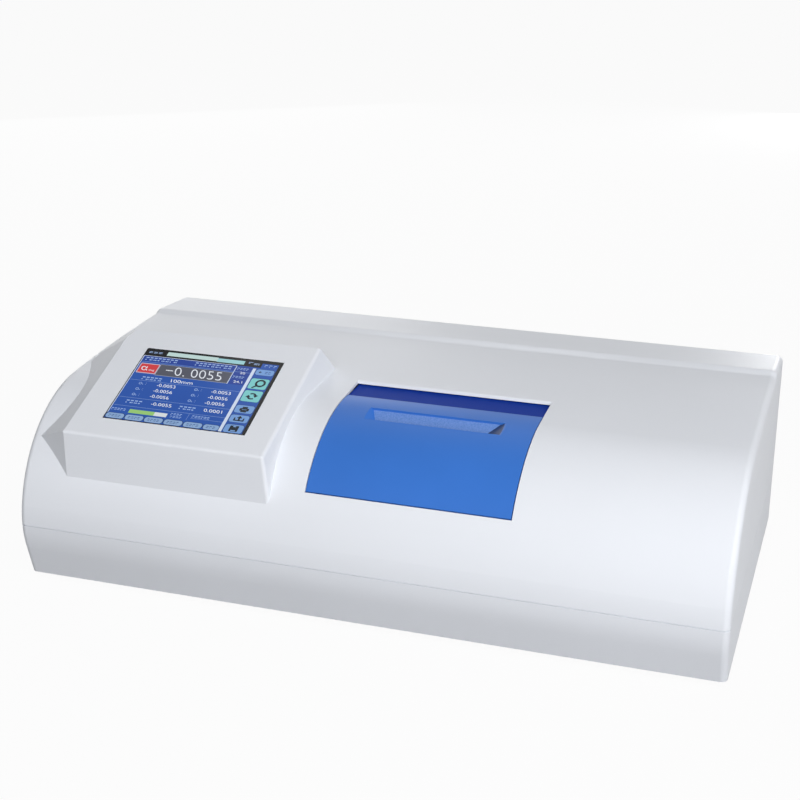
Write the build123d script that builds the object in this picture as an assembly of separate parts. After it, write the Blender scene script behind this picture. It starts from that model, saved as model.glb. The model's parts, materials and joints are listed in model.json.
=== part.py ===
from build123d import *
import math
import os

os.makedirs("parts", exist_ok=True)

# Automatic polarimeter: a moulded bench housing with a sloping touch screen console, and a drum-shaped
# door that turns up and back under the roof to open the sample compartment.
# Millimetres, +Z up, front towards -Y, +X to the viewer's right. The origin lies on the table, under the
# middle of the housing. Angles about the door axis are counted from the rear horizontal, upwards.

# Housing
LENGTH = 740.0
DEPTH = 408.4
WALL = 3.0
FOOT_HEIGHT = 6.0
FOOT_R = 14.0
FOOT_INSET_X = 60.0
FOOT_INSET_Y = 46.0
DRUM_R = 141.6
NOSE_R = 95.0
BLEND_ANGLE = 13.0
ROOF_PITCH = 5.0
ROOF_RUN = 195.5
PIVOT_HEIGHT = 55.6
TRAY_LEAN = 16.6
SEAM_HEIGHT = 66.0
SEAM_GROOVE = 1.1
GROOVE_DEPTH = 1.2
LEDGE_RUN = 13.0
LEDGE_RISE = 3.3
LEDGE_FALL = 5.5
LEDGE_EDGE_R = 6.0
END_EDGE_R = 7.0
BOSS_R = 8.0
BOSS_HEIGHT = 26.0
BOSS_SETBACK = 9.0
BOSS_FRONT_SETBACK = 94.2
BOSS_REAR_SETBACK = 54.2
SCREW_R = 2.0
SCREW_HEAD_R = 3.8
SCREW_HEAD_H = 2.4
SCREW_CLEARANCE = 0.1
SCREW_SEAT_DEPTH = 8.0
HEAD_RECESS_GAP = 1.0
SLOT_COUNT = 9
SLOT_PITCH = 14.0
SLOT_WIDTH = 4.0
SLOT_LENGTH = 60.0

# Console and screen
CONSOLE_LEFT = -318.0
CONSOLE_RIGHT = -95.0
CONSOLE_SETBACK = 15.7
CONSOLE_LIP_HEIGHT = 173.0
CONSOLE_TILT = 21.3
CONSOLE_RUN = 160.0
CONSOLE_REAR_SLOPE = 45.0
CONSOLE_SIDE_DRAFT = 6.0
CONSOLE_LEFT_SLOPE = 33.8
CORNER_RUN_X = 38.0
CORNER_RUN_Y = 21.5
REAR_CORNER_X = 6.0
REAR_CORNER_Y = 16.0
REAR_CORNER_FALL = 29.2
REAR_CORNER_REACH = 47.0
CONSOLE_EDGE_R = 4.0
SCREEN_W = 160.5
SCREEN_H = 116.0
SCREEN_OFFSET_X = 0.85
SCREEN_FROM_LIP = 26.9
GLASS_THICKNESS = 3.0
GLASS_GAP = 0.2
LCD_THICKNESS = 8.0
LCD_INSET = 1.3
FRAME_BORDER = 11.0
FRAME_DEPTH = 10.0
BRACKET_THICKNESS = 1.5
BRACKET_EAR = 14.0
BOARD_THICKNESS = 1.6
EAR_OVERHANG = 1.3
BRACKET_WINDOW_W = 60.0
BRACKET_WINDOW_H = 50.0
STANDOFF_R = 3.0
DISPLAY_STANDOFF = 6.0
DISPLAY_BOARD_W = 140.0
DISPLAY_BOARD_H = 95.0

# Door
DOOR_W = 212.0
DOOR_CENTRE_X = 50.7
DOOR_TOP_ANGLE = 73.2
DOOR_BOTTOM_ANGLE = 144.9
DOOR_GAP = 1.0
PANEL_T = 4.0
LIP_T = 3.2
LIP_OVERLAP = 11.0
LIP_LAND = 5.0
LIP_BOTTOM_ANGLE = 4.2
STRIP_RUN = 48.0
STRIP_T = 2.4
STRIP_BOTTOM_ANGLE = 86.5
STRIP_STEP = 0.5
STRIP_SEAT_ANGLE = 4.0
STRIP_JOINT = 0.3
DOOR_TRAVEL = 60.0
POCKET_W = 145.0
POCKET_OFFSET_X = 1.8
POCKET_TOP_ANGLE = 97.0
POCKET_BOTTOM_ANGLE = 106.0
POCKET_DEPTH = 11.0
POCKET_TOP_DEPTH = 2.6
POCKET_LEFT_SLANT = 12.0
POCKET_RIGHT_SLANT = 25.0
POCKET_WALL = 2.0
ARM_T = 4.0
ARM_TOP_ANGLE = 80.0
ARM_BOTTOM_ANGLE = 110.0
ARM_RIM = 9.0
HUB_R = 13.0
PIN_R = 5.0
PIN_HEAD_R = 8.0
PIN_HEAD_T = 2.0
RUNNING_GAP = 0.05
SIDE_GAP = 1.6
BUFFER_GAP = 0.3
BUFFER_T = 4.5
BUFFER_LAP = 2.0
BUFFER_SIDE = 3.0
STOP_PIN_R = 4.0
STOP_PIN_RADIUS = 62.0
EAR_SPAN = 4.0
EAR_RIM_GAP = 0.6
ARM_WEB_NEAR = 11.7
ARM_WEB_FLARE = 50.0
ARM_WEB_TAPER = 3.0

# Sample compartment
BULKHEAD_T = 3.0
BULKHEAD_MARGIN = 2.0
BULKHEAD_FRONT = 107.0
BULKHEAD_REAR = 74.0
BULKHEAD_R = 131.0
BULKHEAD_FOOT = 14.0
BEAM_FORWARD = 62.8
BEAM_HEIGHT = 106.0
WINDOW_R = 12.0
RING_R = 16.0
RING_T = 3.0
BEAM_R = 8.0
TROUGH_T = 2.0
TROUGH_HALF_W = 46.0
TROUGH_FLOOR = 78.0
TROUGH_FRONT_TOP = 124.0
TROUGH_REAR_TOP = 150.0
TROUGH_SHIFT = 5.0
TUBE_R = 15.0
CRADLE_W = 42.0
CRADLE_TOP = 101.0
CRADLE_END_GAP = 4.0
CRADLE_NOTCH = 26.0
CRADLE_EDGE = 2.0
TROUGH_CORNER_R = 10.0

# Optical bench and train
BENCH_TOP = 46.0
BENCH_T = 6.0
BENCH_END_GAP = 20.0
BENCH_W = 84.0
BENCH_FLANGE = 18.0
PILLAR_R = 8.0
PILLAR_PITCH = 300.0
MOUNT_HALF_W = 22.0
MOUNT_WEB = 12.0
MOUNT_FOOT_H = 8.0
LENS_R = 11.0
LENS_T = 5.0
ROD_R = 5.0
COIL_R = 20.0
COIL_CORE_R = 7.0
COIL_LENGTH = 46.0
COIL_CHEEK = 3.0
MODULE = 1.25
GEAR_TEETH = 60
PINION_TEETH = 15
GEAR_T = 6.0
PINION_T = 8.0
MESH_GAP = 0.25
TOOTH_BACKLASH = 0.5
SLEEVE_R = 14.0
SLEEVE_BORE_R = 9.0
MOTOR_SIZE = 42.0
MOTOR_LENGTH = 34.0
MOTOR_BOSS_R = 11.0
SHAFT_R = 2.5
PLATE_T = 4.0
TRAIN_GAP = 8.0
PLATE_GAP = 4.0
ANALYSER_LENGTH = 26.0
PRISM_LENGTH = 18.0
PRISM_SETBACK = 2.0
CONDENSER_LENGTH = 36.0
DETECTOR_LENGTH = 70.0
DETECTOR_MARGIN = 4.0
DETECTOR_WALL = 3.0
POLARISER_LENGTH = 16.0
FILTER_LENGTH = 8.0
FILTER_SETBACK = 2.0
LAMP_LENGTH = 30.0
LAMP_BORE_R = 12.0
LAMP_SEAT_R = 16.0
LAMP_SEAT_DEPTH = 8.0
LAMP_BOARD_T = 3.0
HEATSINK_T = 12.0
HEATSINK_BASE = 4.0
HEATSINK_FINS = 7
LAMP_END_ROOM = 17.7
HOUSING_CORNER_R = 5.0
GEAR_HOLE_R = 6.0
GEAR_HOLE_CIRCLE = 24.0
GEAR_HOLES = 6

# Electronics and rear connectors
PANEL_PLATE_T = 2.0
PANEL_END_LEFT = 60.0
PANEL_END_RIGHT = 40.0
PANEL_Z0 = 24.0
PANEL_Z1 = 106.0
PANEL_LAP = 8.0
FLANGE_D = 14.0
BOARD_STANDOFF = 10.0
MAIN_BOARD_W = 210.0
MAIN_BOARD_D = 100.0
MAIN_BOARD_END_GAP = 50.0
MAIN_BOARD_REAR_GAP = 19.2
CHIP_H = 3.0
CAPACITOR_R = 9.0
CAPACITOR_H = 24.0
REGULATOR_H = 22.0
CONNECTOR_H = 9.0
SUPPLY_W = 150.0
SUPPLY_D = 98.0
SUPPLY_H = 50.0
SUPPLY_END_GAP = 40.0
SUPPLY_REAR_GAP = 43.2
SUPPLY_LEDGE_W = 16.0
SUPPLY_LEDGE_H = 14.0
TERMINAL_H = 13.0
INLET_END_GAP = 95.0
SWITCH_PITCH = 60.0
FUSE_DROP = 24.0
FUSE_H = 12.0
CONNECTOR_Z = 70.0
FLANGE_T = 2.0
INLET_W = 28.0
INLET_H = 21.0
INLET_DEPTH = 20.0
INLET_WALL = 2.0
SWITCH_W = 22.0
SWITCH_H = 30.0
SWITCH_DEPTH = 20.0
ROCKER_HALF_W = 8.0
ROCKER_HALF_H = 10.6
ROCKER_TILT = 12.0
ROCKER_GAP = 0.5
ROCKER_SETBACK = 5.0
ROCKER_FACE = 3.4
ROCKER_HORN = 4.6
ROCKER_EDGE = 3.0
ROCKER_BACK = 6.0
ROCKER_PIN_R = 2.0
ROCKER_PIN_REACH = 1.7
USB_END_GAP = 190.0
USB_PITCH = 30.0
USB_W = 14.5
USB_H = 7.5
SERIAL_END_GAP = 105.0
SERIAL_W = 31.0
SERIAL_H = 12.5

# Worked out from the sizes above
FRONT = -DEPTH / 2
REAR = DEPTH / 2
PIVOT_Y = FRONT + NOSE_R + (DRUM_R - NOSE_R) * math.cos(math.radians(BLEND_ANGLE))
PIVOT_Z = PIVOT_HEIGHT
FLOOR_Z = FOOT_HEIGHT + WALL
DOOR_X0 = DOOR_CENTRE_X - DOOR_W / 2
DOOR_X1 = DOOR_CENTRE_X + DOOR_W / 2
BEAM_Y = PIVOT_Y - BEAM_FORWARD
BEAM_Z = BEAM_HEIGHT
CHAMBER_X0 = DOOR_X0 - BULKHEAD_MARGIN
CHAMBER_X1 = DOOR_X1 + BULKHEAD_MARGIN
LIP_R1 = DRUM_R - PANEL_T
LIP_R0 = LIP_R1 - LIP_T
BIG = 2 * LENGTH
SCREW_SEAT = SEAM_HEIGHT - SCREW_SEAT_DEPTH
FLANGE_Y = REAR - WALL - PANEL_PLATE_T - FLANGE_D / 2
PLATE_Y1 = REAR - WALL
PLATE_Y0 = PLATE_Y1 - PANEL_PLATE_T
PANEL_X0 = -LENGTH / 2 + PANEL_END_LEFT
PANEL_X1 = LENGTH / 2 - PANEL_END_RIGHT
MAIN_BOARD_X = -LENGTH / 2 + MAIN_BOARD_END_GAP + MAIN_BOARD_W / 2
MAIN_BOARD_Y = REAR - MAIN_BOARD_REAR_GAP - MAIN_BOARD_D / 2
SUPPLY_X = LENGTH / 2 - SUPPLY_END_GAP - SUPPLY_W / 2
SUPPLY_Y = REAR - SUPPLY_REAR_GAP - SUPPLY_D / 2
INLET_X = LENGTH / 2 - INLET_END_GAP
SWITCH_X = INLET_X - SWITCH_PITCH
USB_X = -LENGTH / 2 + USB_END_GAP
SERIAL_X = -LENGTH / 2 + SERIAL_END_GAP
ROCKER_Y = PLATE_Y1 - ROCKER_SETBACK
BRACKET_DEPTH = WALL + FRAME_DEPTH
BOARD_DEPTH = BRACKET_DEPTH + BRACKET_THICKNESS + DISPLAY_STANDOFF
LEFT_WALL_X = CHAMBER_X0 - BULKHEAD_T - SIDE_GAP - ARM_T - PIN_HEAD_T
RIGHT_WALL_X = CHAMBER_X1 + BULKHEAD_T + SIDE_GAP + ARM_T + PIN_HEAD_T
GEAR_X1 = LEFT_WALL_X - TRAIN_GAP
GEAR_X0 = GEAR_X1 - GEAR_T
PLATE_X1 = GEAR_X0 - PLATE_GAP
PLATE_X0 = PLATE_X1 - PLATE_T
ANALYSER_X0 = PLATE_X0 - ANALYSER_LENGTH
CONDENSER_X1 = ANALYSER_X0 - TRAIN_GAP
CONDENSER_X0 = CONDENSER_X1 - CONDENSER_LENGTH
DETECTOR_X1 = CONDENSER_X0 - TRAIN_GAP
DETECTOR_X0 = DETECTOR_X1 - DETECTOR_LENGTH
COIL_X0 = RIGHT_WALL_X + TRAIN_GAP
COIL_X1 = COIL_X0 + COIL_LENGTH
POLARISER_X0 = COIL_X1 + TRAIN_GAP
POLARISER_X1 = POLARISER_X0 + POLARISER_LENGTH
FILTER_X0 = POLARISER_X1 + TRAIN_GAP / 2
FILTER_X1 = FILTER_X0 + FILTER_LENGTH
COLLIMATOR_X0 = FILTER_X1 + TRAIN_GAP / 2
LAMP_X1 = LENGTH / 2 - WALL - LAMP_END_ROOM - HEATSINK_T
LAMP_X0 = LAMP_X1 - LAMP_LENGTH
COLLIMATOR_X1 = LAMP_X0
MOTOR_Y = BEAM_Y + MODULE * (GEAR_TEETH + PINION_TEETH) / 2 + MESH_GAP


# Basic forms
def block(x0, x1, y0, y1, z0, z1):
    return Pos((x0 + x1) / 2, (y0 + y1) / 2, (z0 + z1) / 2) * Box(x1 - x0, y1 - y0, z1 - z0)


def rod_x(radius, x0, x1, y, z):
    return Pos((x0 + x1) / 2, y, z) * Rot(0, 90, 0) * Cylinder(radius, x1 - x0)


def rod_y(radius, x, y0, y1, z):
    return Pos(x, (y0 + y1) / 2, z) * Rot(90, 0, 0) * Cylinder(radius, y1 - y0)


def rod_z(radius, x, y, z0, z1):
    return Pos(x, y, (z0 + z1) / 2) * Cylinder(radius, z1 - z0)


def along_x(outline, x0, x1):
    """Extrude a face drawn with (Y, Z) as its own axes from x0 to x1."""
    return extrude(Plane.YZ.offset(x0) * outline, amount=x1 - x0)


def behind(point, normal):
    """Everything behind a plane, as a very large block."""
    return Plane(origin=point, z_dir=normal) * Pos(0, 0, -BIG / 2) * Box(BIG, BIG, BIG)


def polar(radius, angle):
    """A (Y, Z) point about the door axis."""
    a = math.radians(angle)
    return (PIVOT_Y + radius * math.cos(a), PIVOT_Z + radius * math.sin(a))


def ring_sector(r0, r1, a0, a1, x0, x1):
    """Part of a ring about the door axis, between two radii, two angles and two X places."""
    centre = (PIVOT_Y, PIVOT_Z)
    outline = make_face([
        CenterArc(centre, r1, a0, a1 - a0),
        Line(polar(r1, a1), polar(r0, a1)),
        CenterArc(centre, r0, a1, a0 - a1),
        Line(polar(r0, a0), polar(r1, a0)),
    ])
    return along_x(outline, x0, x1)


def arc_angle(length, radius=DRUM_R):
    """The angle in degrees that a length takes on a circle about the door axis."""
    return math.degrees(length / radius)


def save(shape, node):
    export_step(shape, "parts/" + node + ".step")


# Housing shells
def housing_outline(inset):
    """Side outline: leaning tray, nose, drum arc, near-flat roof and rear ledge, moved in by the inset."""
    nose = (FRONT + NOSE_R, PIVOT_Z + (DRUM_R - NOSE_R) * math.sin(math.radians(BLEND_ANGLE)))
    nose_r = NOSE_R - inset
    lean = math.radians(TRAY_LEAN)
    bottom = FOOT_HEIGHT + inset
    knee = (nose[0] - nose_r * math.cos(lean), nose[1] - nose_r * math.sin(lean))
    toe = (knee[0] + (knee[1] - bottom) * math.tan(lean), bottom)
    crest = polar(DRUM_R, 90 + ROOF_PITCH)
    roof_r = ROOF_RUN / math.sin(math.radians(ROOF_PITCH))
    roof_centre = (crest[0] + ROOF_RUN, crest[1] - roof_r * math.cos(math.radians(ROOF_PITCH)))
    step_foot = (roof_centre[0], roof_centre[1] + roof_r - inset)
    fall = LEDGE_FALL / (REAR - roof_centre[0] - LEDGE_RUN)
    step_top = (step_foot[0] + LEDGE_RUN - inset * fall, step_foot[1] + LEDGE_RISE)
    rear_top = (REAR - inset, step_top[1] - (REAR - inset - step_top[0]) * fall)
    outline = make_face([
        Line(toe, knee),
        CenterArc(nose, nose_r, 180 + TRAY_LEAN, -TRAY_LEAN - BLEND_ANGLE),
        CenterArc((PIVOT_Y, PIVOT_Z), DRUM_R - inset, 180 - BLEND_ANGLE, BLEND_ANGLE + ROOF_PITCH - 90),
        CenterArc(roof_centre, roof_r - inset, 90 + ROOF_PITCH, -ROOF_PITCH),
        Spline(step_foot, step_top, tangents=[(1, 0), (1, -fall)]),
        Line(step_top, rear_top),
        Line(rear_top, (REAR - inset, bottom)),
        Line((REAR - inset, bottom), toe),
    ])
    corner = outline.vertices().sort_by(Axis.X)[-2:].sort_by(Axis.Y)[-1]
    return fillet(corner, LEDGE_EDGE_R - inset)


def housing_body(inset):
    """The closed housing's solid, or its hollow when inset by the wall."""
    half = LENGTH / 2 - inset
    solid = along_x(housing_outline(inset), -half, half)
    bottom = solid.faces().sort_by(Axis.Z)[0]
    ends = solid.faces().sort_by(Axis.X)
    rims = [edge for face in (ends[0], ends[-1]) for edge in face.edges()]
    under = [edge.center() for edge in bottom.edges()]
    rims = [edge for edge in rims if min((edge.center() - c).length for c in under) > 0.01]
    return fillet(rims, END_EDGE_R - inset)


def console_plane():
    """The console's sloping top: origin in the middle of its front edge, local Y up the slope."""
    middle = (CONSOLE_LEFT + CONSOLE_RIGHT) / 2
    tilt = math.radians(CONSOLE_TILT)
    return Plane(
        origin=(middle, FRONT + CONSOLE_SETBACK, CONSOLE_LIP_HEIGHT),
        x_dir=(1, 0, 0),
        z_dir=(0, -math.sin(tilt), math.cos(tilt)),
    )


def console_body(inset):
    """The raised console as the space behind its sloping planes, each moved in by the inset."""
    tilt = math.radians(CONSOLE_TILT)
    draft = math.radians(CONSOLE_SIDE_DRAFT)
    rear_slope = math.radians(CONSOLE_REAR_SLOPE)
    front_y = FRONT + CONSOLE_SETBACK
    lip_z = CONSOLE_LIP_HEIGHT
    top = Vector(0, -math.sin(tilt), math.cos(tilt))
    side = Vector(math.cos(draft), 0, 0) + top * math.sin(draft)
    left = Vector(-math.tan(math.radians(CONSOLE_LEFT_SLOPE)), -math.tan(tilt), 1).normalized()
    corner = Vector(-CORNER_RUN_Y, -CORNER_RUN_X, 0).normalized()
    rear = Vector(0, math.sin(rear_slope), math.cos(rear_slope))
    back_edge = Vector(0, front_y + CONSOLE_RUN, lip_z + CONSOLE_RUN * math.tan(tilt))
    back_left = Vector(CONSOLE_LEFT, back_edge.Y, back_edge.Z)
    cut_edge = Vector(REAR_CORNER_X, REAR_CORNER_Y, REAR_CORNER_Y * math.tan(tilt))
    back_left_start = back_left - Vector(0, REAR_CORNER_Y, REAR_CORNER_Y * math.tan(tilt))
    rear_left = cut_edge.cross(Vector(-REAR_CORNER_REACH, REAR_CORNER_Y / 2, -REAR_CORNER_FALL)).normalized()
    roof_edge = Vector(-LENGTH / 2 + END_EDGE_R, 0, PIVOT_Z + DRUM_R)
    planes = [
        (Vector(0, front_y, lip_z), top),
        (Vector(0, front_y, 0), Vector(0, -1, 0)),
        (Vector(CONSOLE_RIGHT, front_y, lip_z), side),
        (Vector(CONSOLE_LEFT, front_y, lip_z), left),
        (Vector(CONSOLE_LEFT, front_y, lip_z), corner),
        (back_edge, rear),
        (back_left_start, rear_left),
        (roof_edge, Vector(-1, 0, 1).normalized()),
    ]
    solid = block(-LENGTH / 2 + inset, CONSOLE_RIGHT + 40, front_y - 5, REAR - 60, PIVOT_Z + 40, BIG / 4)
    for point, normal in planes:
        solid = solid & behind(point - normal * inset, normal)
    return solid


def rounded_console():
    """The console's outside, with its front, right and rear edges rounded."""
    solid = console_body(0)
    front_y = FRONT + CONSOLE_SETBACK
    edges = [
        solid.edges().filter_by(Axis.X).filter_by(lambda e: abs(e.center().Y - front_y) < 0.1)
        .sort_by(Axis.Z)[-1]
    ]
    right = solid.faces().sort_by(Axis.X)[-1]
    lowest = right.edges().sort_by(Axis.Z)[0]
    edges += [edge for edge in right.edges() if (edge.center() - lowest.center()).length > 0.1
              and edge.center().Y < front_y + CONSOLE_RUN + 20]
    return fillet(edges, CONSOLE_EDGE_R)


def housing_shell():
    outside = housing_body(0) + rounded_console()
    return outside - housing_body(WALL) - console_body(WALL)


def above_seam():
    return block(-BIG, BIG, -BIG, BIG, SEAM_HEIGHT, BIG)


def rear_window():
    return block(PANEL_X0, PANEL_X1, REAR - WALL - 1, REAR + 1, PANEL_Z0, PANEL_Z1)


def boss_places():
    x = LENGTH / 2 - BOSS_SETBACK
    rows = (FRONT + BOSS_FRONT_SETBACK, REAR - BOSS_REAR_SETBACK)
    return [(sx * x, y) for sx in (-1, 1) for y in rows]


def foot_places():
    x = LENGTH / 2 - FOOT_INSET_X
    y = DEPTH / 2 - FOOT_INSET_Y
    return [(sx * x, sy * y) for sx in (-1, 1) for sy in (-1, 1)]


def slot_places():
    first = SUPPLY_X - SLOT_PITCH * (SLOT_COUNT - 1) / 2
    return [first + i * SLOT_PITCH for i in range(SLOT_COUNT)]


def panel_screw_places():
    reach = (PANEL_X1 - PANEL_X0) / 2 - 20
    middle = (PANEL_X0 + PANEL_X1) / 2
    return [middle + reach * share for share in (-1, -0.32, 0.36, 1)]


def base_tray(shell):
    """Lower shell with hollow screw posts, vent slots and screw holes."""
    tray = shell - above_seam()
    for x, y in boss_places():
        tray = tray + rod_z(BOSS_R, x, y, FOOT_HEIGHT + WALL / 2, SEAM_HEIGHT)
        tray = tray - rod_z(SCREW_HEAD_R + HEAD_RECESS_GAP, x, y, 0, SCREW_SEAT)
        tray = tray - rod_z(SCREW_R + 2 * SCREW_CLEARANCE, x, y, 0, SEAM_HEIGHT + 1)
    for x in slot_places():
        slot = Pos(x, SUPPLY_Y, FOOT_HEIGHT) * SlotOverall(SLOT_LENGTH, SLOT_WIDTH, rotation=90)
        tray = tray - extrude(slot, amount=2 * WALL, both=True)
    for x, y in foot_places():
        tray = tray - rod_z(SCREW_R + SCREW_CLEARANCE, x, y, 0, FLOOR_Z + 1)
    for x in panel_screw_places():
        tray = tray - rod_z(SCREW_R + SCREW_CLEARANCE, x, FLANGE_Y, FOOT_HEIGHT + 1, FLOOR_Z + 1)
    return tray - rear_window()


def display_boss_places():
    half_w = SCREEN_W / 2 + FRAME_BORDER + BRACKET_EAR / 2
    half_h = SCREEN_H / 2 - BRACKET_EAR / 2
    return [(sx * half_w, sy * half_h) for sx in (-1, 1) for sy in (-1, 1)]


def screen_plane():
    """The outer face of the console in the middle of the screen window."""
    top = console_plane()
    middle = top.from_local_coords((SCREEN_OFFSET_X, SCREEN_FROM_LIP + SCREEN_H / 2, 0))
    return Plane(origin=middle, x_dir=top.x_dir, z_dir=top.z_dir)


def sunk(width, height, top, bottom, x=0.0, y=0.0):
    """A block parallel to the screen, between two depths below the console's face."""
    return screen_plane() * Pos(x, y, -(top + bottom) / 2) * Box(width, height, bottom - top)


def sunk_rod(radius, top, bottom, x, y):
    return screen_plane() * Pos(x, y, -(top + bottom) / 2) * Cylinder(radius, bottom - top)


def door_opening():
    return ring_sector(LIP_R0 - 20, DRUM_R + 60, DOOR_TOP_ANGLE, DOOR_BOTTOM_ANGLE, DOOR_X0, DOOR_X1)


def top_cover(shell):
    """Upper shell: seam groove, door opening with a chamfered roof edge, screen window and bosses."""
    cover = shell & above_seam()
    groove = (housing_body(0) - housing_body(GROOVE_DEPTH)) & block(
        -BIG, BIG, -BIG, BIG, SEAM_HEIGHT, SEAM_HEIGHT + SEAM_GROOVE
    )
    cover = cover - groove
    cover = cover - door_opening()
    roof_edge = cover.edges().filter_by(Axis.X).filter_by(
        lambda e: abs(e.length - DOOR_W) < 0.1 and e.center().Y > PIVOT_Y
    ).sort_by(Axis.Z)[-1]
    cover = chamfer(roof_edge, WALL * 0.4)
    cover = cover - sunk(SCREEN_W, SCREEN_H, -WALL, 2 * WALL)
    for x, y in display_boss_places():
        cover = cover + sunk_rod(BRACKET_EAR / 3, WALL / 2, WALL + FRAME_DEPTH, x, y)
        cover = cover - sunk_rod(SCREW_R + SCREW_CLEARANCE, WALL + 1, WALL + FRAME_DEPTH + 1, x, y)
    for x, y in boss_places():
        cover = cover + rod_z(BOSS_R, x, y, SEAM_HEIGHT, SEAM_HEIGHT + BOSS_HEIGHT)
        cover = cover - rod_z(SCREW_R + SCREW_CLEARANCE, x, y, SEAM_HEIGHT - 1, SEAM_HEIGHT + BOSS_HEIGHT - 4)
    return cover - rear_window()


def screw_up(x, y, seat, length):
    """A pan-head screw pointing up, its head under the seat."""
    return rod_z(SCREW_HEAD_R, x, y, seat - SCREW_HEAD_H, seat) + rod_z(SCREW_R, x, y, seat - 1, seat + length)


def screw_down(x, y, seat, length):
    return rod_z(SCREW_HEAD_R, x, y, seat, seat + SCREW_HEAD_H) + rod_z(SCREW_R, x, y, seat - length, seat + 1)


def rubber_foot(x, y):
    """Round foot with a chamfered lower edge and a recess for its screw head."""
    foot = rod_z(FOOT_R, x, y, 0, FOOT_HEIGHT)
    foot = chamfer(foot.edges().sort_by(Axis.Z)[0], 1.2)
    foot = foot - rod_z(SCREW_HEAD_R + HEAD_RECESS_GAP, x, y, -1, FOOT_HEIGHT - 2)
    return foot - rod_z(SCREW_R + SCREW_CLEARANCE, x, y, -1, FOOT_HEIGHT + 1)


def rear_panel():
    """Steel connector plate behind the rear wall's window, folded to a flange on the tray floor."""
    y1 = REAR - WALL
    y0 = y1 - PANEL_PLATE_T
    x0, x1 = PANEL_X0 - PANEL_LAP, PANEL_X1 + PANEL_LAP
    plate = block(x0, x1, y0, y1, FLOOR_Z, PANEL_Z1 + PANEL_LAP)
    plate = plate + block(x0, x1, y0 - FLANGE_D, y1, FLOOR_Z, FLOOR_Z + PANEL_PLATE_T)
    for x in panel_screw_places():
        plate = plate - rod_z(SCREW_R + SCREW_CLEARANCE, x, FLANGE_Y, 0, FLOOR_Z + PANEL_PLATE_T + 1)
    cuts = [
        (INLET_X, CONNECTOR_Z, INLET_W, INLET_H),
        (INLET_X, CONNECTOR_Z - FUSE_DROP, INLET_W, FUSE_H),
        (SWITCH_X, CONNECTOR_Z, SWITCH_W, SWITCH_H),
        (SERIAL_X, CONNECTOR_Z, SERIAL_W - 10, SERIAL_H - 3),
    ]
    cuts += [(x, CONNECTOR_Z, USB_W, USB_H) for x in usb_places()]
    for x, z, w, h in cuts:
        plate = plate - block(x - w / 2, x + w / 2, y0 - 1, y1 + 1, z - h / 2, z + h / 2)
    return plate


def usb_places():
    return [USB_X, USB_X + USB_PITCH]


# Display
def display_frame():
    """Frame under the glass: the glass rests on its inner rim and the LCD sits inside it."""
    w, h = SCREEN_W + 2 * FRAME_BORDER, SCREEN_H + 2 * FRAME_BORDER
    frame = sunk(w, h, WALL, WALL + FRAME_DEPTH)
    return frame - sunk(SCREEN_W - 2 * LCD_INSET, SCREEN_H - 2 * LCD_INSET, 0, 2 * FRAME_DEPTH)


def touch_glass():
    glass = sunk(SCREEN_W - 2 * GLASS_GAP, SCREEN_H - 2 * GLASS_GAP, 0, GLASS_THICKNESS)
    upright = glass.edges().filter_by(lambda e: abs(e.length - GLASS_THICKNESS) < 0.01)
    return fillet(upright, 1.5)


def lcd_panel():
    return sunk(SCREEN_W - 2 * LCD_INSET - 0.4, SCREEN_H - 2 * LCD_INSET - 0.4,
                GLASS_THICKNESS, GLASS_THICKNESS + LCD_THICKNESS)


def display_bracket():
    """Folded plate behind the display frame, with an ear at each boss and a lightening window."""
    w, h = SCREEN_W + 2 * FRAME_BORDER, SCREEN_H + 2 * FRAME_BORDER
    back = BRACKET_DEPTH + BRACKET_THICKNESS
    plate = sunk(w, h, BRACKET_DEPTH, back)
    for x, y in display_boss_places():
        plate = plate + sunk(BRACKET_EAR * EAR_OVERHANG, BRACKET_EAR, BRACKET_DEPTH, back, x, y)
        plate = plate - sunk_rod(SCREW_R + SCREW_CLEARANCE, BRACKET_DEPTH - 1, back + 1, x, y)
    return plate - sunk(BRACKET_WINDOW_W, BRACKET_WINDOW_H, BRACKET_DEPTH - 1, back + 1)


def display_standoff_places():
    x, y = DISPLAY_BOARD_W / 2 - 6, DISPLAY_BOARD_H / 2 - 6
    return [(sx * x, sy * y) for sx in (-1, 1) for sy in (-1, 1)]


def display_board():
    """Screen controller board with its processor and two connectors."""
    back = BOARD_DEPTH + BOARD_THICKNESS
    board = sunk(DISPLAY_BOARD_W, DISPLAY_BOARD_H, BOARD_DEPTH, back)
    board = board + sunk(24, 24, back - 0.5, back + 2.5, -15, 5)
    board = board + sunk(38, 8, back - 0.5, back + 7, 35, -30)
    return board + sunk(14, 6, back - 0.5, back + 5, -45, -30)


# Door
def finger_pocket(grow):
    """Recess that deepens towards its lower edge, with slanted ends, grown on all sides for its walls."""
    outline = make_face(Polyline(
        polar(DRUM_R + 4, POCKET_TOP_ANGLE),
        polar(DRUM_R - POCKET_TOP_DEPTH, POCKET_TOP_ANGLE),
        polar(DRUM_R - POCKET_DEPTH, POCKET_BOTTOM_ANGLE),
        polar(DRUM_R + 4, POCKET_BOTTOM_ANGLE),
        close=True,
    ))
    if grow > 0:
        outline = offset(outline, grow, kind=Kind.INTERSECTION)
    centre = DOOR_CENTRE_X + POCKET_OFFSET_X
    half = POCKET_W / 2
    tool = along_x(outline, centre - half - 20, centre + half + 20)
    middle = math.radians((POCKET_TOP_ANGLE + POCKET_BOTTOM_ANGLE) / 2)
    out = Vector(0, math.cos(middle), math.sin(middle))
    rim = Vector(0, *polar(DRUM_R, (POCKET_TOP_ANGLE + POCKET_BOTTOM_ANGLE) / 2))
    for side, slant in ((-1, POCKET_LEFT_SLANT), (1, POCKET_RIGHT_SLANT)):
        normal = (Vector(side * POCKET_DEPTH, 0, 0) - out * slant).normalized()
        point = rim + Vector(centre + side * half, 0, 0) + normal * grow
        tool = tool & behind(point, normal)
    return tool


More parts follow.
